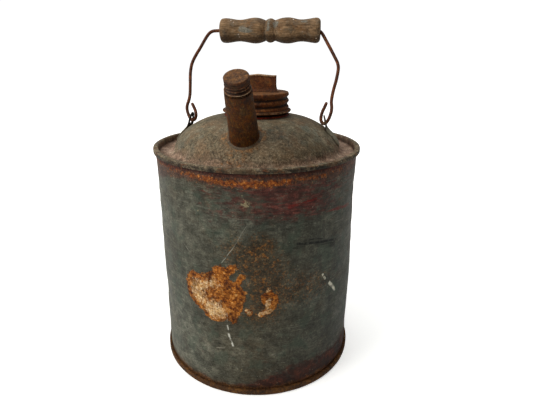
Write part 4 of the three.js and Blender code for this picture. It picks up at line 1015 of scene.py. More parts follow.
def filler_neck():
    rc, z0, z1 = 23.35, 213.2, NECK_TOP
    prof = [(22.5, 206.6), (23.9, 206.6), (23.9, float(dome_z(24.4)) + 0.42), (25.6, float(dome_z(25.9)) + 0.34), (25.85, float(dome_z(25.9)) + 0.5), (26.0, 209.7), (26.05, 210.3)]
    prof += arc(25.35, 210.75, 0.6, 0, 90, 4)[1:] + [(24.6, 211.4), (24.0, 211.55), (rc + 0.1, 212.1), (rc, 212.6)]
    prof += [(rc, z) for z in np.linspace(z0, z1 - 0.5, 44)] + [(rc - 0.15, z1 - 0.12), (rc - 0.35, z1), (22.7, z1), (22.5, z1 - 0.15)]
    prof += [(22.5, z) for z in np.linspace(z1 - 2, 208, 6)]

    def shape(r, z, t):
        on = (r > rc - 0.2) & (z > 212.9) & (z < z1 - 0.3)
        c = helix(CREST, PITCH, z, t)
        k = 0.5 * DEPTH * (1 + c) * sm((z - z0) / 1.6) * sm((z1 - 0.2 - z) / 1.4)
        return r + np.where(on, k, 0), z

    v, f, r, z, t = lathe(prof, 150, shape)
    # painted shadow in a band just under the cap's lower bead
    a = {"wear_and_painted_glint": 0.0 * r, "grime_and_painted_shade": ramp01(z, 210.9, 211.6) * ramp01(z, 213.5, 212.5)}
    o = build("visual_filler_neck", v, f, a)
    place(o, "can", "rusted_fittings", RUST_NECK, "filler_neck")
    # the solder round its foot: a low uneven fillet
    r0 = 26.0
    nu, nv = 180, 9
    th = np.linspace(0, 2 * PI, nu, endpoint=False)
    q = np.stack([26 * np.cos(th), 26 * np.sin(th), 0 * th], 1)
    w = 1.6 + 0.35 * fbm(q, 7, 71, 2)
    h = 0.45 + 0.12 * fbm(q, 6, 72, 2)
    verts = []
    for k in range(nv):
        u = k / (nv - 1)
        rr = r0 + w * u
        zz = dome_z(rr) + 0.02 + h * (1 - u) ** 1.7 + (0.10 if 0 < k < nv - 1 else 0)
        verts.append(np.stack([rr * np.cos(th), rr * np.sin(th), zz], 1))
    for k in (1, 0):
        rr = r0 + w * k
        verts.append(np.stack([rr * np.cos(th), rr * np.sin(th), dome_z(rr) - 0.25], 1))
    v = np.concatenate(verts)
    o = build("visual_filler_neck_solder", v, [grid(nu, nv + 2, flip=True)])
    place(o, "can", "soft_solder", SOLDER, "filler_neck_solder")


filler_neck()


def filler_cap():
    R, ri = 25.95, 24.9
    prof = arc(26.7, 213.7, 1.05, 170, 440, 16)
    prof = [p for p in prof if p[0] > 25.3]
    prof += [(R, z) for z in np.linspace(214.9, 226.1, 46)]
    prof += [(25.9, 226.7)] + arc(24.65, 226.95, 1.25, 5, 90, 6) + [(23.4, CAP_TOP), (21.0, CAP_TOP - 0.05), (18, CAP_TOP - 0.1), (12, CAP_TOP - 0.1), (6, CAP_TOP - 0.1), (0, CAP_TOP - 0.1)]
    inner = [(0, CAP_TOP - 0.6), (6, CAP_TOP - 0.6), (12, CAP_TOP - 0.6), (18, CAP_TOP - 0.6), (23.8, CAP_TOP - 0.6), (24.4, CAP_TOP - 0.9), (24.7, CAP_TOP - 1.6)]
    inner += [(ri, z) for z in np.linspace(226.1, 214.7, 46)]
    prof = inner + prof

    def shape(r, z, t):
        on = (r > 24.8) & (z > 214.6) & (z < 226.2) & (r < 26.0)
        c = helix(CREST, PITCH, z, t)
        k = -0.5 * np.where(r > 25.2, 1.35, DEPTH) * (1 - c) * sm((z - 214.9) / 1.2) * sm((226.1 - z) / 1.2)
        p = np.stack([r * np.cos(t), r * np.sin(t), z], 1)
        out = (r > 25.3)
        d = np.where(out, np.minimum(0.16 * fbm(p, 4, 81, 2), 0.02), 0)
        top = (z > CAP_TOP - 0.2)
        dz = np.where(top, -0.06 + 0.06 * fbm(p, 7, 82, 2), 0)
        return r + np.where(on, k, 0) + d, z + dz

    v, f, r, z, t = lathe(prof, 168, shape)
    c = helix(CREST, PITCH, z, t)
    # pale wear on the thread crests and the bead, which also stands in for glints there: painted highlight with wear.
    # Near-black in the thread valleys, just above the bead and inside the cap: painted shade
    crest = np.clip(c, 0, 1) ** 2 * (r > 25.5) * ramp01(z, 214.8, 216) * ramp01(z, 226.2, 225)
    bead = np.exp(-(((z - 213.7) / 0.6) ** 2)) * (r > 27.2)
    valley = np.clip(-c + 0.15, 0, 1) ** 1.5 * (np.abs(r - R) < 0.01) * ramp01(z, 214.8, 215.6) * ramp01(z, 226.2, 225.4)
    foot = 0.8 * np.exp(-(((z - 214.95) / 0.35) ** 2)) * (r > 25.5)
    a = {"wear_and_painted_glint": np.clip(0.33 * crest + 0.85 * bead, 0, 1), "grime_and_painted_shade": np.clip(0.95 * valley + foot + 0.9 * (r < 25.0) * (z < 227), 0, 1)}
    o = build("visual_filler_cap", v, f, a, sharp=50)
    place(o, "filler_screw_cap", "rusted_fittings", RUST_CAP, "filler_cap")


filler_cap()


def filler_wing():
    """Finger wing: an upright plate folded from sheet, its rolled upper edge wavy, its ends flaring into the cap."""
    z0, zt = CAP_TOP + 0.05, 240.9
    nz, nx = 26, 64
    vs = np.linspace(0, 1, nz)
    us = np.linspace(-1, 1, nx)

    def half(v):
        z = z0 + (zt - z0) * v
        h = z - z0
        return 15.6 + 2.6 * np.exp(-h / 1.7) + 0.0 * v

    def top_of(x):
        xs = [-16, -13.5, -10, -6.5, -2.5, 1, 4, 8, 12, 14, 16]
        ys = [0.0, 0.05, 0.15, 0.5, 0.9, 1.15, 0.95, 0.6, 0.4, 0.5, 0.6]
        return np.interp(x, xs, ys)

    def thick(v, u):
        # thinner plate in the middle, a rolled bead along the top, a spread foot
        foot = 1.1 * np.exp(-(v * (zt - z0)) / 1.3)
        bead = 0.42 * np.exp(-(((v - 0.93) / 0.065) ** 2))
        return 1.32 + bead + foot

    # section loop round each height: front face, right end, back face, left end
    ring = []
    n_end = 6
    for v in vs:
        pts = []
        for u in us:
            pts.append((u, -1.0, v))
        for k in range(1, n_end):
            a = -90 + 180 * k / n_end
            pts.append((1.0 + 1e-9, math.sin(rad(a)), v))
        for u in us[::-1]:
            pts.append((u, 1.0, v))
        for k in range(1, n_end):
            a = 90 - 180 * k / n_end
            pts.append((-1.0 - 1e-9, math.sin(rad(a)), v))
        ring.append(pts)
    ring = np.array(ring)                      # nz, n, 3
    n = ring.shape[1]
    u, w, v = ring[..., 0], ring[..., 1], ring[..., 2]
    hw = half(v)
    end = np.where(np.abs(u) > 1, np.cos(np.arcsin(np.clip(w, -1, 1))) * 0.35, 0.0)
    x = np.clip(u, -1, 1) * hw + np.sign(u) * end
    lift = top_of(x) * ramp01(v, 0.45, 1.0)
    z = z0 + (zt - 0.35 - z0) * v + lift
    T = thick(v, u)
    roundtop = np.sqrt(np.clip(1 - np.clip((v - 0.955) / 0.05, 0, 1) ** 2, 0, 1))
    y = w * T * (0.25 + 0.75 * roundtop)
    p3 = np.stack([x.ravel(), 0 * x.ravel(), z.ravel()], 1)
    y = y + (0.35 * fbm(p3, 9, 91, 2)).reshape(y.shape) * ramp01(v, 0.1, 0.6)
    mid = 0.20 * np.sin(x / 3.3) * ramp01(v, 0.85, 1)
    z = z + np.minimum(0, mid)
    V = np.stack([x, y, z], -1).reshape(-1, 3)
    F = [grid(n, nz, True, False)]
    # close top and bottom with strips between the front and the back rows
    def cap(row, flip):
        base = row * n
        front = [base + i for i in range(nx)]
        back = [base + nx + n_end - 1 + i for i in range(nx)][::-1]
        right = [base + nx - 1] + [base + nx + i for i in range(n_end - 1)] + [base + nx + n_end - 1]
        left = [base + nx + n_end - 1 + nx - 1] + [base + 2 * nx + n_end - 1 + i for i in range(n_end - 1)] + [base]
        q = [[front[i], front[i + 1], back[i + 1], back[i]] for i in range(nx - 1)]
        t = [[right[0], right[i], right[i + 1]] for i in range(1, len(right) - 1)] + [[left[0], left[i], left[i + 1]] for i in range(1, len(left) - 1)]
        if flip:
            q, t = [a[::-1] for a in q], [a[::-1] for a in t]
        return np.array(q), np.array(t)
    q1, t1 = cap(nz - 1, False)
    q0, t0 = cap(0, True)
    F += [q1, q0, t1, t0]
    a = -4.0
    ca, sa = math.cos(rad(a)), math.sin(rad(a))
    V = np.stack([V[:, 0] * ca - V[:, 1] * sa, V[:, 0] * sa + V[:, 1] * ca, V[:, 2]], 1)
    vv = v.ravel()
    wear_and_painted_glint = 0.95 * ramp01(vv, 0.86, 0.97)
    # darker at the wing's foot where it meets the cap top: painted shade in the corner
    grime_and_painted_shade = 0.0 * vv + 0.35 * np.exp(-vv / 0.05)
    o = build("visual_filler_cap_wing", V, F, {"wear_and_painted_glint": wear_and_painted_glint, "grime_and_painted_shade": grime_and_painted_shade}, sharp=50)
    place(o, "filler_screw_cap", "rusted_fittings", RUST_CAP, "filler_cap_wing")


filler_wing()


# ---------------------------------------------------------------- pour spout: tube, solder, nozzle and cap
def spout():
    k = (9.24 - 10.64) / 39.4

    def rt(l):
        return 10.64 + k * np.asarray(l, float)

    nu = 96
    th = np.linspace(0, 2 * PI, nu, endpoint=False)
    M = np.array(SPOUT_M)

    def foot_l(radius, gap):
        """Where a line of the tube, parallel to its axis, meets the dome."""
        lo, hi = np.full(nu, -12.0), np.full(nu, 14.0)
        rr = radius if np.ndim(radius) else np.full(nu, float(radius))
        for _ in range(40):
            l = (lo + hi) / 2
            P = np.stack([rr * np.cos(th), rr * np.sin(th), l], 1) @ M[:3, :3].T + M[:3, 3]
            above = P[:, 2] > dome_z(np.hypot(P[:, 0], P[:, 1])) + gap
            hi = np.where(above, l, hi)
            lo = np.where(above, lo, l)
        return (lo + hi) / 2

    base_o = foot_l(10.7, -0.15)
    base_i = foot_l(10.0, -0.15)
    L = 37.5
    rows, rads = [], []
    n = 30
    for i in range(n + 1):
        u = i / n
        l = base_o + (L - base_o) * u
        rows.append(l)
        rads.append(rt(l) + 0.55 * np.exp(-((l - base_o) / 1.1)) + 0.10)
    rows.append(np.full(nu, L)); rads.append(rt(L) + 0.02 + 0 * th)
    for i in range(n // 3 + 1):
        u = 1 - i / (n // 3)
        l = base_i + (L - base_i) * u
        rows.append(l)
        rads.append(rt(l) - 0.6)
    rows, rads = np.array(rows), np.array(rads)
    nv = len(rows)
    t = np.tile(th, nv)
    l, r = rows.ravel(), rads.ravel()
    p = np.stack([r * np.cos(t), r * np.sin(t), l], 1)
    outer = np.arange(nv * nu) < (n + 2) * nu
    r = r + np.where(outer, 0.10 * fbm(p, 9, 101, 2) * ramp01(l, 36.5, 30) * 1.0, 0)
    v = np.stack([r * np.cos(t), r * np.sin(t), l], 1)
    # painted shade at the tube's top under the nozzle's flange, and inside the tube
    o = build("visual_spout_tube", v, [grid(nu, nv)], {"wear_and_painted_glint": 0 * l, "grime_and_painted_shade": np.where(outer, 0.35 * ramp01(l, 36.6, 37.5), 0.5)}, transform=SPOUT_M)
    place(o, "can", "rusted_fittings", RUST_SPOUT, "spout_tube")

    # solder: a low uneven fillet round the foot
    q = np.stack([12 * np.cos(th), 12 * np.sin(th), 0 * th], 1)
    w = 2.1 + 0.45 * fbm(q, 6, 111, 2)
    verts = []
    m = 8
    for i in range(m + 1):
        u = i / m
        rr = 10.95 + w * u
        ll = foot_l(rr, 0.02) + 0.75 * (1 - u) ** 1.8 + (0.10 if 0 < i < m else 0)
        verts.append(np.stack([rr * np.cos(th), rr * np.sin(th), ll], 1))
    for u in (1, 0):
        rr = 10.95 + w * u
        verts.append(np.stack([rr * np.cos(th), rr * np.sin(th), foot_l(rr, -0.3)], 1))
    o = build("visual_spout_solder", np.concatenate(verts), [grid(nu, m + 3, flip=True)], transform=SPOUT_M)
    place(o, "can", "soft_solder", SOLDER, "spout_solder")

    # nozzle with its rolled thread
    ro, l0, l1 = 7.05, 39.6, 46.3
    prof = [(6.4, 37.8), (8.7, 37.8), (8.85, 37.9), (8.9, 38.05), (8.9, 38.2), (8.8, 38.35), (8.6, 38.42), (7.4, 38.5), (ro + 0.05, 38.8), (ro, 39.2)]
    prof += [(ro, z) for z in np.linspace(l0, l1 - 0.4, 30)] + [(ro - 0.12, l1 - 0.08), (ro - 0.3, l1), (6.5, l1), (6.4, l1 - 0.12), (6.4, 44), (6.4, 41)]

    def shape(r, z, t):
        c = helix(43.4, 3.0, z, t)
        on = (r > 7.0) & (r < 7.1) & (z > 39.5) & (z < l1 - 0.3)
        kk = 0.5 * 0.4 * (1 + c) * sm((z - l0) / 1.0) * sm((l1 - 0.2 - z) / 0.9)
        return r + np.where(on, kk, 0), z

    v, f, r, z, t = lathe(prof, 96, shape)
    # painted shade on the nozzle above its flange, where the cap's rim overhangs
    o = build("visual_spout_nozzle", v, f, {"wear_and_painted_glint": 0 * r, "grime_and_painted_shade": 0.7 * ramp01(z, 38.2, 39.0)}, transform=SPOUT_M)
    place(o, "can", "rusted_fittings", RUST_SPOUT, "spout_nozzle")

    # screw cap: a plain crown above two rolled ridges and a beaded edge
    R, ri = 8.6, 7.55
    prof = [(0, 47.9), (4, 47.9), (6.9, 47.9), (7.4, 47.7), (ri, 47.2)] + [(ri, z) for z in np.linspace(46.5, 40.2, 12)]
    prof += [(7.9, 39.6)] + arc(8.6, 39.45, 0.62, 175, 440, 15)
    prof += [(R - 0.05, z) for z in np.linspace(40.3, 48.0, 44)] + [(8.45, 48.35)] + arc(7.55, 48.3, 0.8, 12, 80, 5) + [(7.2, 49.08), (5, 49.0), (2.5, 48.95), (0, 48.95)]

    def ridge(z, t):
        return np.cos(2 * PI * ((z - 41.75) / 2.15) - t - PI / 2) * ramp01(z, 40.3, 41.0) * ramp01(z, 45.2, 44.6)

    def cshape(r, z, t):
        p = np.stack([r * np.cos(t), r * np.sin(t), z], 1)
        on = (r > 8.5) & (z > 40.2) & (z < 48.1)
        span = ramp01(z, 40.2, 40.9) * ramp01(z, 45.3, 44.6)
        kk = -0.5 * 0.84 * (1 - ridge(z, t)) * span - 0.2 * ramp01(z, 44.6, 45.4)
        # the crown leans back a little and its edge is knocked about
        y = r * np.sin(t)
        dz = np.where(z > 46.8, 0.055 * y - 0.35, 0.0) + np.where(z > 48.8, -0.14 + 0.14 * fbm(p, 4, 121, 2), 0)
        knock = np.where((r > 7.8) & (z > 45.4), np.minimum(0.16 * fbm(p, 3, 122, 2) + 0.04, 0.04), 0)
        return r + np.where(on, kk, 0) + knock, z + dz

    v, f, r, z, t = lathe(prof, 120, cshape)
    outer = (r > 8.45) & (z > 40.1) & (z < 48.1)
    # pale wear on the ridge crests, bead and lip, which also stands in for glints: painted highlight with wear.
    # Near-black in the valleys, down the crown side below the disc's edge, in the gap above the bead and inside:
    # painted shade
    c = ridge(z, t)
    inband = ramp01(z, 40.2, 41.0) * ramp01(z, 45.3, 44.6)
    crest = np.clip(c, 0, 1) ** 2 * outer * inband
    valley = np.clip(-c + 0.1, 0, 1) ** 1.3 * outer * inband
    bead = np.exp(-(((z - 39.6) / 0.4) ** 2)) * (r > 8.9)
    brow = 0.4 * np.exp(-(((z - 46.6) / 0.9) ** 2)) * outer
    lip = np.exp(-(((r - 8.1) / 0.3) ** 2)) * (z > 48.4)
    crown = 0.3 * outer * ramp01(z, 44.8, 45.6)
    gap = 0.9 * np.exp(-(((z - 40.45) / 0.3) ** 2)) * (r > 8.0)
    a = {"wear_and_painted_glint": np.clip(0.72 * crest + 0.95 * bead + 0.4 * lip, 0, 1), "grime_and_painted_shade": np.clip(1.0 * valley + brow + crown + gap + 0.8 * (r < 7.9) * (z < 47.7), 0, 1)}
    o = build("visual_spout_cap", v, f, a, sharp=50, transform=SPOUT_M)
    place(o, "spout_screw_cap", "rusted_fittings", RUST_SCAP, "spout_cap")


spout()


# ---------------------------------------------------------------- bail ears
def ears():
    px, pz, lean, T = 56.0, 204.2, 14.0, 1.0
    d = np.array([-math.sin(rad(lean)), math.cos(rad(lean))])
    # midline in the X-Z plane: up the flank, then bending to the leaning tab
    flank = []
    for z in np.linspace(187.0, 197.2, 16):
        r = 67.9 * math.sqrt(max(0.0, 1 - ((z - LEDGE_Z) / 31.8) ** 2))
        slope = np.array([31.8 ** 2 * r, 67.9 ** 2 * (z - LEDGE_Z)])
        nrm = slope / np.linalg.norm(slope)
        flank.append((r + nrm[0] * 0.68, z + nrm[1] * 0.68))
    tab = [(px + d[0] * h, pz + d[1] * h) for h in np.linspace(-4.2, 6.4, 26)]
    path = np.array(flank + tab)
    for _ in range(3):                                     # ease the bend
        k = path.copy()
        k[13:20] = 0.25 * path[12:19] + 0.5 * path[13:20] + 0.25 * path[14:21]
        path = k
    seg = np.r_[0, np.cumsum(np.linalg.norm(np.diff(path, axis=0), axis=1))]
    n = len(path)
    tan = np.gradient(path, axis=0)
    tan /= np.linalg.norm(tan, axis=1)[:, None]
    nor = np.stack([tan[:, 1], -tan[:, 0]], 1)             # outwards
    h = (path - np.array([px, pz])) @ d                    # height above the hole's centre
    hw = np.empty(n)
    for i in range(n):
        if i < len(flank):
            hw[i] = 8.4 - 2.2 * max(0.0, 1 - (path[i, 1] - 187.0) / 2.1)
        elif h[i] < -1.2:
            u = (h[i] + 4.9) / 3.7
            hw[i] = 8.4 + (6.3 - 8.4) * min(1, max(0, u))
        else:
            hw[i] = 6.3 * math.sqrt(max(0.004, 1 - (max(0, h[i]) / 6.42) ** 2)) if h[i] > 0 else 6.3
    nu = 25
    uu = np.linspace(-1, 1, nu)
    onflank = np.array([1.0 if i < len(flank) - 2 else max(0.0, 1 - (i - len(flank) + 2) / 5.0) for i in range(n)])
    sides = []
    for side in (1, -1):
        pts = []
        for i in range(n):
            y = uu * hw[i]
            edge = 1 - 0.45 * np.clip((np.abs(uu) - 0.93) / 0.07, 0, 1)
            x = path[i, 0] + nor[i, 0] * side * T / 2 * edge - onflank[i] * (path[i, 0] - np.sqrt(np.maximum(path[i, 0] ** 2 - y ** 2, 0)))
            z = path[i, 1] + nor[i, 1] * side * T / 2 * edge
            pts.append(np.stack([x, y, z + 0 * y], 1))
        sides.append(np.array(pts))
    outer, inner = sides
    V = np.concatenate([outer.reshape(-1, 3), inner.reshape(-1, 3)])
    m = n * nu
    F = [grid(nu, n, False, False), grid(nu, n, False, False, flip=True) + m]
    rim = []
    def strip(ids):
        for a, b in zip(ids[:-1], ids[1:]):
            rim.append([a, a + m, b + m, b])
    strip([i for i in range(nu)][::1])                     # foot edge
    strip([(n - 1) * nu + i for i in range(nu)][::-1])     # top edge
    strip([i * nu for i in range(n)][::-1])
    strip([i * nu + nu - 1 for i in range(n)])
    F.append(np.array(rim))
    for name, sgn, node in (("visual_ear_right", 1, "ear_right"), ("visual_ear_left", -1, "ear_left")):
        W = V.copy()
        W[:, 0] *= sgn
        FF = [f[:, ::-1] if sgn < 0 else f for f in F]
        o = build(name, W, FF, sharp=40)
        bm_fix(o)
        cv, cf, *_ = lathe([(0, -4), (3.5, -4), (3.5, 4), (0, 4)], 40)
        ang = math.atan2(d[0], d[1])
        # the hole's axis is the tab's normal
        nx, nz = math.cos(rad(lean)), math.sin(rad(lean))
        C = np.stack([cv[:, 2] * nx + cv[:, 0] * (-nz), cv[:, 1], cv[:, 2] * nz + cv[:, 0] * nx], 1) + np.array([px, 0, pz])
        C[:, 0] *= sgn
        cut = build("cutter_ear", C, [f[:, ::-1] if sgn < 0 else f for f in cf])
        bm_fix(cut)
        boolean(o, cut)
        co = np.array([q.co for q in o.data.vertices]) * 1000
        at = o.data.attributes.get("grime_and_painted_shade") or o.data.attributes.new("grime_and_painted_shade", "FLOAT", "POINT")
        # dirt and shadow on the inside face of the tab
        q = (np.abs(co[:, 0]) - px) * math.cos(rad(lean)) + (co[:, 2] - pz) * math.sin(rad(lean))
        g = ramp01(q, 0.25, -0.25) * ramp01(co[:, 2], 196, 198)
        at.data.foreach_set("value", np.asarray(np.clip(g, 0, 1), np.float32))
        place(o, "can", "galvanised_ears", EAR, node)


def bm_fix(o):
    """Normals outwards."""
    import bmesh
    bm = bmesh.new()
    bm.from_mesh(o.data)
    bmesh.ops.remove_doubles(bm, verts=bm.verts, dist=1e-7)
    bmesh.ops.recalc_face_normals(bm, faces=bm.faces)
    bm.to_mesh(o.data)
    bm.free()


ears()

# ---------------------------------------------------------------- bail wire and grip, in the leaning bail's own frame
RISE = 77.0
BAIL_M = transform(0, 0, 204.2, -24.0)


def catmull(points, per=40):
    """Centripetal curve through the points, evenly dense."""
    P = [np.array(p, float) for p in points]
    out = []
    n = len(P)
    for i in range(n - 1):
        p1, p2 = P[i], P[i + 1]
        p0 = P[i - 1] if i > 0 else p1 + (p1 - p2)
        p3 = P[i + 2] if i + 2 < n else p2 + (p2 - p1)
        d0, d1, d2 = (max(1e-4, np.linalg.norm(b - a) ** 0.5) for a, b in ((p0, p1), (p1, p2), (p2, p3)))
        t1 = ((p1 - p0) / d0 - (p2 - p0) / (d0 + d1) + (p2 - p1) / d1) * d1
        t2 = ((p2 - p1) / d1 - (p3 - p1) / (d1 + d2) + (p3 - p2) / d2) * d1
        for j in range(per):
            t = j / per
            out.append((2 * t ** 3 - 3 * t ** 2 + 1) * p1 + (t ** 3 - 2 * t ** 2 + t) * t1 + (-2 * t ** 3 + 3 * t ** 2) * p2 + (t ** 3 - t ** 2) * t2)
    out.append(P[-1])
    return np.array(out)


def bail_wire():
    right = [[56.0, 17], [54.5, 13], [52.9, 9], [52.1, 5.2], [52.1, 2.6], [52.8, 0.7], [54.2, -0.5], [56.0, 0], [57.7, 2.2], [59.0, 5.4],
             [60.0, 9.4], [60.2, 13.0], [59.7, 16.9], [59.9, 20.9], [60.9, 27.4], [62.7, 35.7], [63.6, 42.2], [63.8, 46.0], [62.9, 49.9], [60.7, 54.2], [57.0, 61.0],
             [53.6, 67.0], [50.4, 72.6], [48.6, 75.1], [46.7, 76.5], [44.0, RISE]]
    left = [[-56.4, 14.0], [-54.7, 11.0], [-53.1, 8.0], [-52.2, 4.8], [-52.1, 2.4], [-52.8, 0.5], [-54.2, -0.6], [-56.0, 0], [-57.7, 2.2], [-59.3, 5.5],
            [-60.4, 9.2], [-60.4, 12.4], [-59.4, 16.2], [-58.8, 21.1], [-59.2, 29.7], [-59.8, 38.4], [-59.8, 42.8], [-59.1, 48.3], [-57.3, 53.3], [-52.1, 63.6],
            [-47.9, 71.9], [-45.7, 75.0], [-43.1, 76.6], [-39.6, RISE]]
    pts = [(x, 0, s) for x, s in left] + [(-30, 0, RISE), (0, 0, RISE), (30, 0, RISE)] + [(x, 0, s) for x, s in right[::-1]]
    fine = catmull(pts, 30)
    d = np.r_[0, np.cumsum(np.linalg.norm(np.diff(fine, axis=0), axis=1))]
    n = int(d[-1] / 0.75)
    t = np.linspace(0, d[-1], n)
    c = np.stack([np.interp(t, d, fine[:, k]) for k in range(3)], 1)
    tan = np.gradient(c, axis=0)
    tan /= np.linalg.norm(tan, axis=1)[:, None]
    side = np.array([0.0, 1.0, 0.0])
    nrm = np.cross(tan, side)
    nrm /= np.linalg.norm(nrm, axis=1)[:, None]
    nu = 18
    th = np.linspace(0, 2 * PI, nu, endpoint=False)
    r = np.full(n, 1.35)
    # the cut ends are nipped, and slightly rounded
    for k, q in enumerate((0.72, 0.9, 0.97)):
        r[k] = 1.35 * q
        r[-1 - k] = 1.35 * q
    V = []
    for i in range(n):
        V.append(c[i] + (np.cos(th)[:, None] * nrm[i] + np.sin(th)[:, None] * side) * r[i])
    V = np.concatenate(V)
    w = fbm(V, 2.6, 131, 2) * 0.05 + fbm(V, 9, 132, 1) * 0.03
    cc = np.repeat(c, nu, 0)
    V = V + (V - cc) * np.minimum(w, 0.0)[:, None]
    ends = np.array([c[0], c[-1]])
    V = np.vstack([V, ends - np.array([tan[0], -tan[-1]]) * 0.1])
    a, b = len(V) - 2, len(V) - 1
    u = np.arange(nu)
    u1 = (u + 1) % nu
    F = [grid(nu, n, True, False), np.stack([np.full(nu, a), u1, u], 1), np.stack([np.full(nu, b), (n - 1) * nu + u, (n - 1) * nu + u1], 1)]
    z = V[:, 2]
    hook = ramp01(z, 6, 0) * 0.5
    o = build("visual_bail_wire", V, F, {"wear_and_painted_glint": hook + 0.1, "grime_and_painted_shade": 0 * z}, transform=BAIL_M)
    bm_fix(o)
    place(o, "bail", "rusted_wire", RUST_WIRE, "bail_wire")


bail_wire()


def wood_grip():
    X0, L = -35.8, 83.5
    out = [[0, 6.6], [0.2, 7.6], [0.6, 8.5], [1.2, 9.1], [1.9, 9.5], [4.5, 9.85], [9, 9.45], [13, 8.8], [17, 8.5], [21.5, 9.0], [26, 9.8], [30, 10.1], [33.5, 9.7], [36.0, 9.0], [37.4, 8.45], [38.3, 8.05],
           [39.0, 8.25], [39.8, 8.8], [40.8, 9.25], [42.3, 9.5], [43.8, 9.25], [44.9, 8.75], [45.7, 8.25], [46.4, 8.05], [47.2, 8.3], [48.6, 8.75], [52, 9.7], [56.6, 10.1], [60.6, 9.7], [64.6, 8.8], [68.4, 8.5],
           [72.5, 8.8], [77, 9.5], [79.8, 9.85], [81.4, 9.6], [82.3, 9.1], [83.0, 8.4], [83.4, 7.5], [L, 6.6]]
    # the height runs along the wire; profile anticlockwise in (radius, along)
    c = catmull([(r, 0, u) for u, r in out], 4)
    prof = [(p[0], p[2]) for p in c] + [(5.2, L), (4.0, L), (3.4, L - 0.7), (2.8, L - 2.2), (2.1, L - 4.0)] + [(2.1, q) for q in np.linspace(L - 14, 14, 5)] + [(2.1, 4.0), (2.8, 2.2), (3.4, 0.7), (4.0, 0), (5.2, 0)]

    def shape(r, z, t):
        q = np.stack([9 * np.cos(t), 9 * np.sin(t), z * 0.35], 1)
        q2 = np.stack([9 * np.cos(t), 9 * np.sin(t), z], 1)
        on = ramp01(r, 5.5, 7.5)
        dr = 0.14 * fbm(q, 3.2, 141, 3) + 0.12 * fbm(q2, 14, 142, 2)
        # worn facets, and the centre bead chipped away in places
        chip = np.exp(-(((z - 42.3) / 2.1) ** 2)) * np.maximum(0, fbm(q2, 4.5, 143, 2) - 0.12) * 2.6
        nick = 0.55 * np.exp(-(((z - 41.2) / 1.4) ** 2) - (((t - 1.9) / 0.35) ** 2)) + 0.35 * np.exp(-(((z - 44.2) / 1.2) ** 2) - (((t - 2.3) / 0.3) ** 2))
        return r + on * (np.minimum(dr, 0.10) - chip * 0.6 - nick), z

    v, f, r, z, t = lathe(prof, 110, shape)
    # lathe frame (x, y, z along) -> bail frame: along +X
    W = np.stack([v[:, 2] + X0, v[:, 1], -v[:, 0] + RISE], 1)
    # paint is left on the side of the grip that faces forward and up
    ang = np.degrees(np.arctan2(W[:, 2] - RISE, -W[:, 1]))     # 0 at the front, 90 on top (in the bail's frame)
    al = W[:, 0] - X0

    def blob(a0, u0, wa, wu):
        return np.exp(-(((ang - a0) / wa) ** 2) - (((al - u0) / wu) ** 2))

    paint = np.clip(0.95 * blob(-15, 20, 26, 5.5) + 0.7 * blob(-28, 28, 14, 9) + 1.0 * blob(10, 47.5, 36, 3.4) + 0.7 * blob(5, 41.5, 50, 2.2) + 0.9 * blob(28, 70, 18, 4.2)
                    + 0.5 * blob(60, 40, 30, 5) + 0.5 * blob(180, 25, 30, 8) + 0.5 * blob(-150, 60, 25, 7) + 0.45 * blob(150, 72, 20, 5), 0, 1)
    wht = np.clip(0.9 * blob(38, 61.4, 5.5, 0.75) + 0.8 * blob(40, 12.6, 4.5, 0.6) + 0.8 * blob(22, 12.4, 5.5, 0.75) + 0.75 * blob(56, 41.3, 8, 1.4), 0, 1)
    # darker underside, grooves, bore and the lower front of one end: painted shade with some dirt
    grip_shade_and_dirt = np.clip(0.85 * ramp01(ang, -38, -62) * ramp01(ang, -150, -120) + 0.5 * np.exp(-(((al - 38.3) / 0.7) ** 2)) + 0.5 * np.exp(-(((al - 46.4) / 0.7) ** 2)) + 0.6 * ramp01(r, 6.5, 4.5)
                   + 0.4 * blob(-30, 5, 30, 6), 0, 1)
    o = build("visual_wood_grip", W, f, {"paint": paint, "wht": wht, "grime_and_painted_shade": grip_shade_and_dirt}, sharp=50, transform=BAIL_M)
    bm_fix(o)
    place(o, "grip", "grip_wood", WOOD, "wood_grip")


wood_grip()

# ---------------------------------------------------------------- gaskets keep their shape and get their material
for n in ("filler_gasket", "spout_gasket"):
    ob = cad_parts[n]
    if not ob.material_slots:
        ob.data.materials.append(GASKET)
    for sl in ob.material_slots:
        sl.material = GASKET
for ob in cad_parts.values():
    if not ob.hide_render and not any(sl.material == GASKET for sl in ob.material_slots):
        for sl in ob.material_slots:
            sl.material = BASE

# ---------------------------------------------------------------- floor
fm = Mat("pale_floor")
fine = fm.noise(60, 3, 0.5, seed=200)
fm.b.inputs["Specular IOR Level"].default_value = 0.1
floor_mat = fm.finish(fm.ramp(fine, [(0.3, (246, 247, 244)), (0.7, (250, 250, 248))]), fm.rng(fine, 0.3, 0.7, 0.85, 0.95))
gx = np.linspace(-3000, 3000, 25)
V = np.array([[x, y, -0.05] for y in gx for x in gx])
fm.b.inputs["Emission Color"].default_value = (1.0, 1.0, 0.995, 1.0)
away = fm.math("SQRT", fm.add(fm.mul(fm.X, fm.X), fm.mul(fm.Y, fm.Y)))
fm.put(fm.b.inputs["Emission Strength"], fm.rng(away, 150.0, 900.0, 0.44, 0.8))
floor = build("studio_floor", V, [grid(25, 25, False, False)])
floor.data.materials.append(floor_mat)
glow_only = bpy.data.collections.new("floor_glow_lights_only_the_floor")
glow_only.objects.link(floor)
floor.light_linking.receiver_collection = glow_only

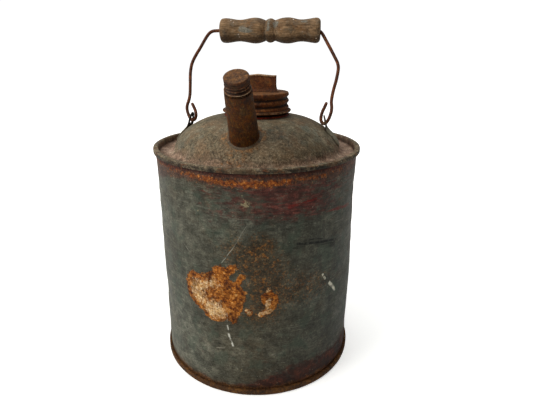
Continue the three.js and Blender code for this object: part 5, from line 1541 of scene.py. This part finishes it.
# ---------------------------------------------------------------- camera
cam = bpy.data.cameras.new("camera")
cam.sensor_width = 36.0
cam.lens = 29.441
cam.clip_start = 0.01
cam.dof.use_dof = False
co = bpy.data.objects.new("camera", cam)
bpy.context.scene.collection.objects.link(co)
phi, yaw, turn = rad(19.555), rad(-1.276), rad(10.0)
fwd = Vector((math.sin(-yaw) * math.cos(phi), math.cos(yaw) * math.cos(phi), -math.sin(phi)))
fwd.rotate(Matrix.Rotation(turn, 3, "Z"))
right = fwd.cross(Vector((0, 0, 1))).normalized()
up = right.cross(fwd).normalized()
rot = Matrix((right, up, -fwd)).transposed()
rot = rot @ Matrix.Rotation(rad(0.099), 3, "Z")
co.matrix_world = Matrix.Translation((0.06238, -0.3538, 0.26311)) @ rot.to_4x4()
bpy.context.scene.camera = co

# ---------------------------------------------------------------- light
world = bpy.data.worlds.new("studio")
bpy.context.scene.world = world
world.use_nodes = True
wt = world.node_tree
wt.nodes.clear()
wo = wt.nodes.new("ShaderNodeOutputWorld")
wtc = wt.nodes.new("ShaderNodeTexCoord")
wsep = wt.nodes.new("ShaderNodeSeparateXYZ")
wt.links.new(wtc.outputs["Generated"], wsep.inputs[0])
wm = wt.nodes.new("ShaderNodeMapRange")
wm.inputs["From Min"].default_value = -0.9
wm.inputs["From Max"].default_value = 0.9
wm.inputs["To Min"].default_value = 0.62
wm.inputs["To Max"].default_value = 0.07
wt.links.new(wsep.outputs[0], wm.inputs["Value"])
soft_bg = wt.nodes.new("ShaderNodeBackground")
soft_bg.inputs["Color"].default_value = (1.0, 0.985, 0.96, 1)
wt.links.new(wm.outputs["Result"], soft_bg.inputs["Strength"])
plain_bg = wt.nodes.new("ShaderNodeBackground")
plain_bg.inputs["Color"].default_value = (1, 1, 1, 1)
plain_bg.inputs["Strength"].default_value = 1.05
lp = wt.nodes.new("ShaderNodeLightPath")
wmix = wt.nodes.new("ShaderNodeMixShader")
wt.links.new(lp.outputs["Is Camera Ray"], wmix.inputs[0])
wt.links.new(soft_bg.outputs[0], wmix.inputs[1])
wt.links.new(plain_bg.outputs[0], wmix.inputs[2])
wt.links.new(wmix.outputs[0], wo.inputs[0])


def area(name, loc, target, size, power, color=(1, 1, 1)):
    l = bpy.data.lights.new(name, "AREA")
    l.shape, l.size, l.energy, l.color = "DISK", size, power, color
    o = bpy.data.objects.new(name, l)
    bpy.context.scene.collection.objects.link(o)
    o.location = loc
    o.rotation_euler = (Vector(target) - Vector(loc)).to_track_quat("-Z", "Y").to_euler()
    return o


area("key", (-1.0, -0.75, 1.15), (0, 0, 0.12), 0.9, 15, (1.0, 0.985, 0.96))
area("top", (0.1, 0.3, 1.5), (0, 0, 0.1), 1.2, 6)

vs = bpy.context.scene.view_settings
vs.view_transform = "Standard"
vs.look = "None"
vs.exposure = 0.0
vs.gamma = 1.0
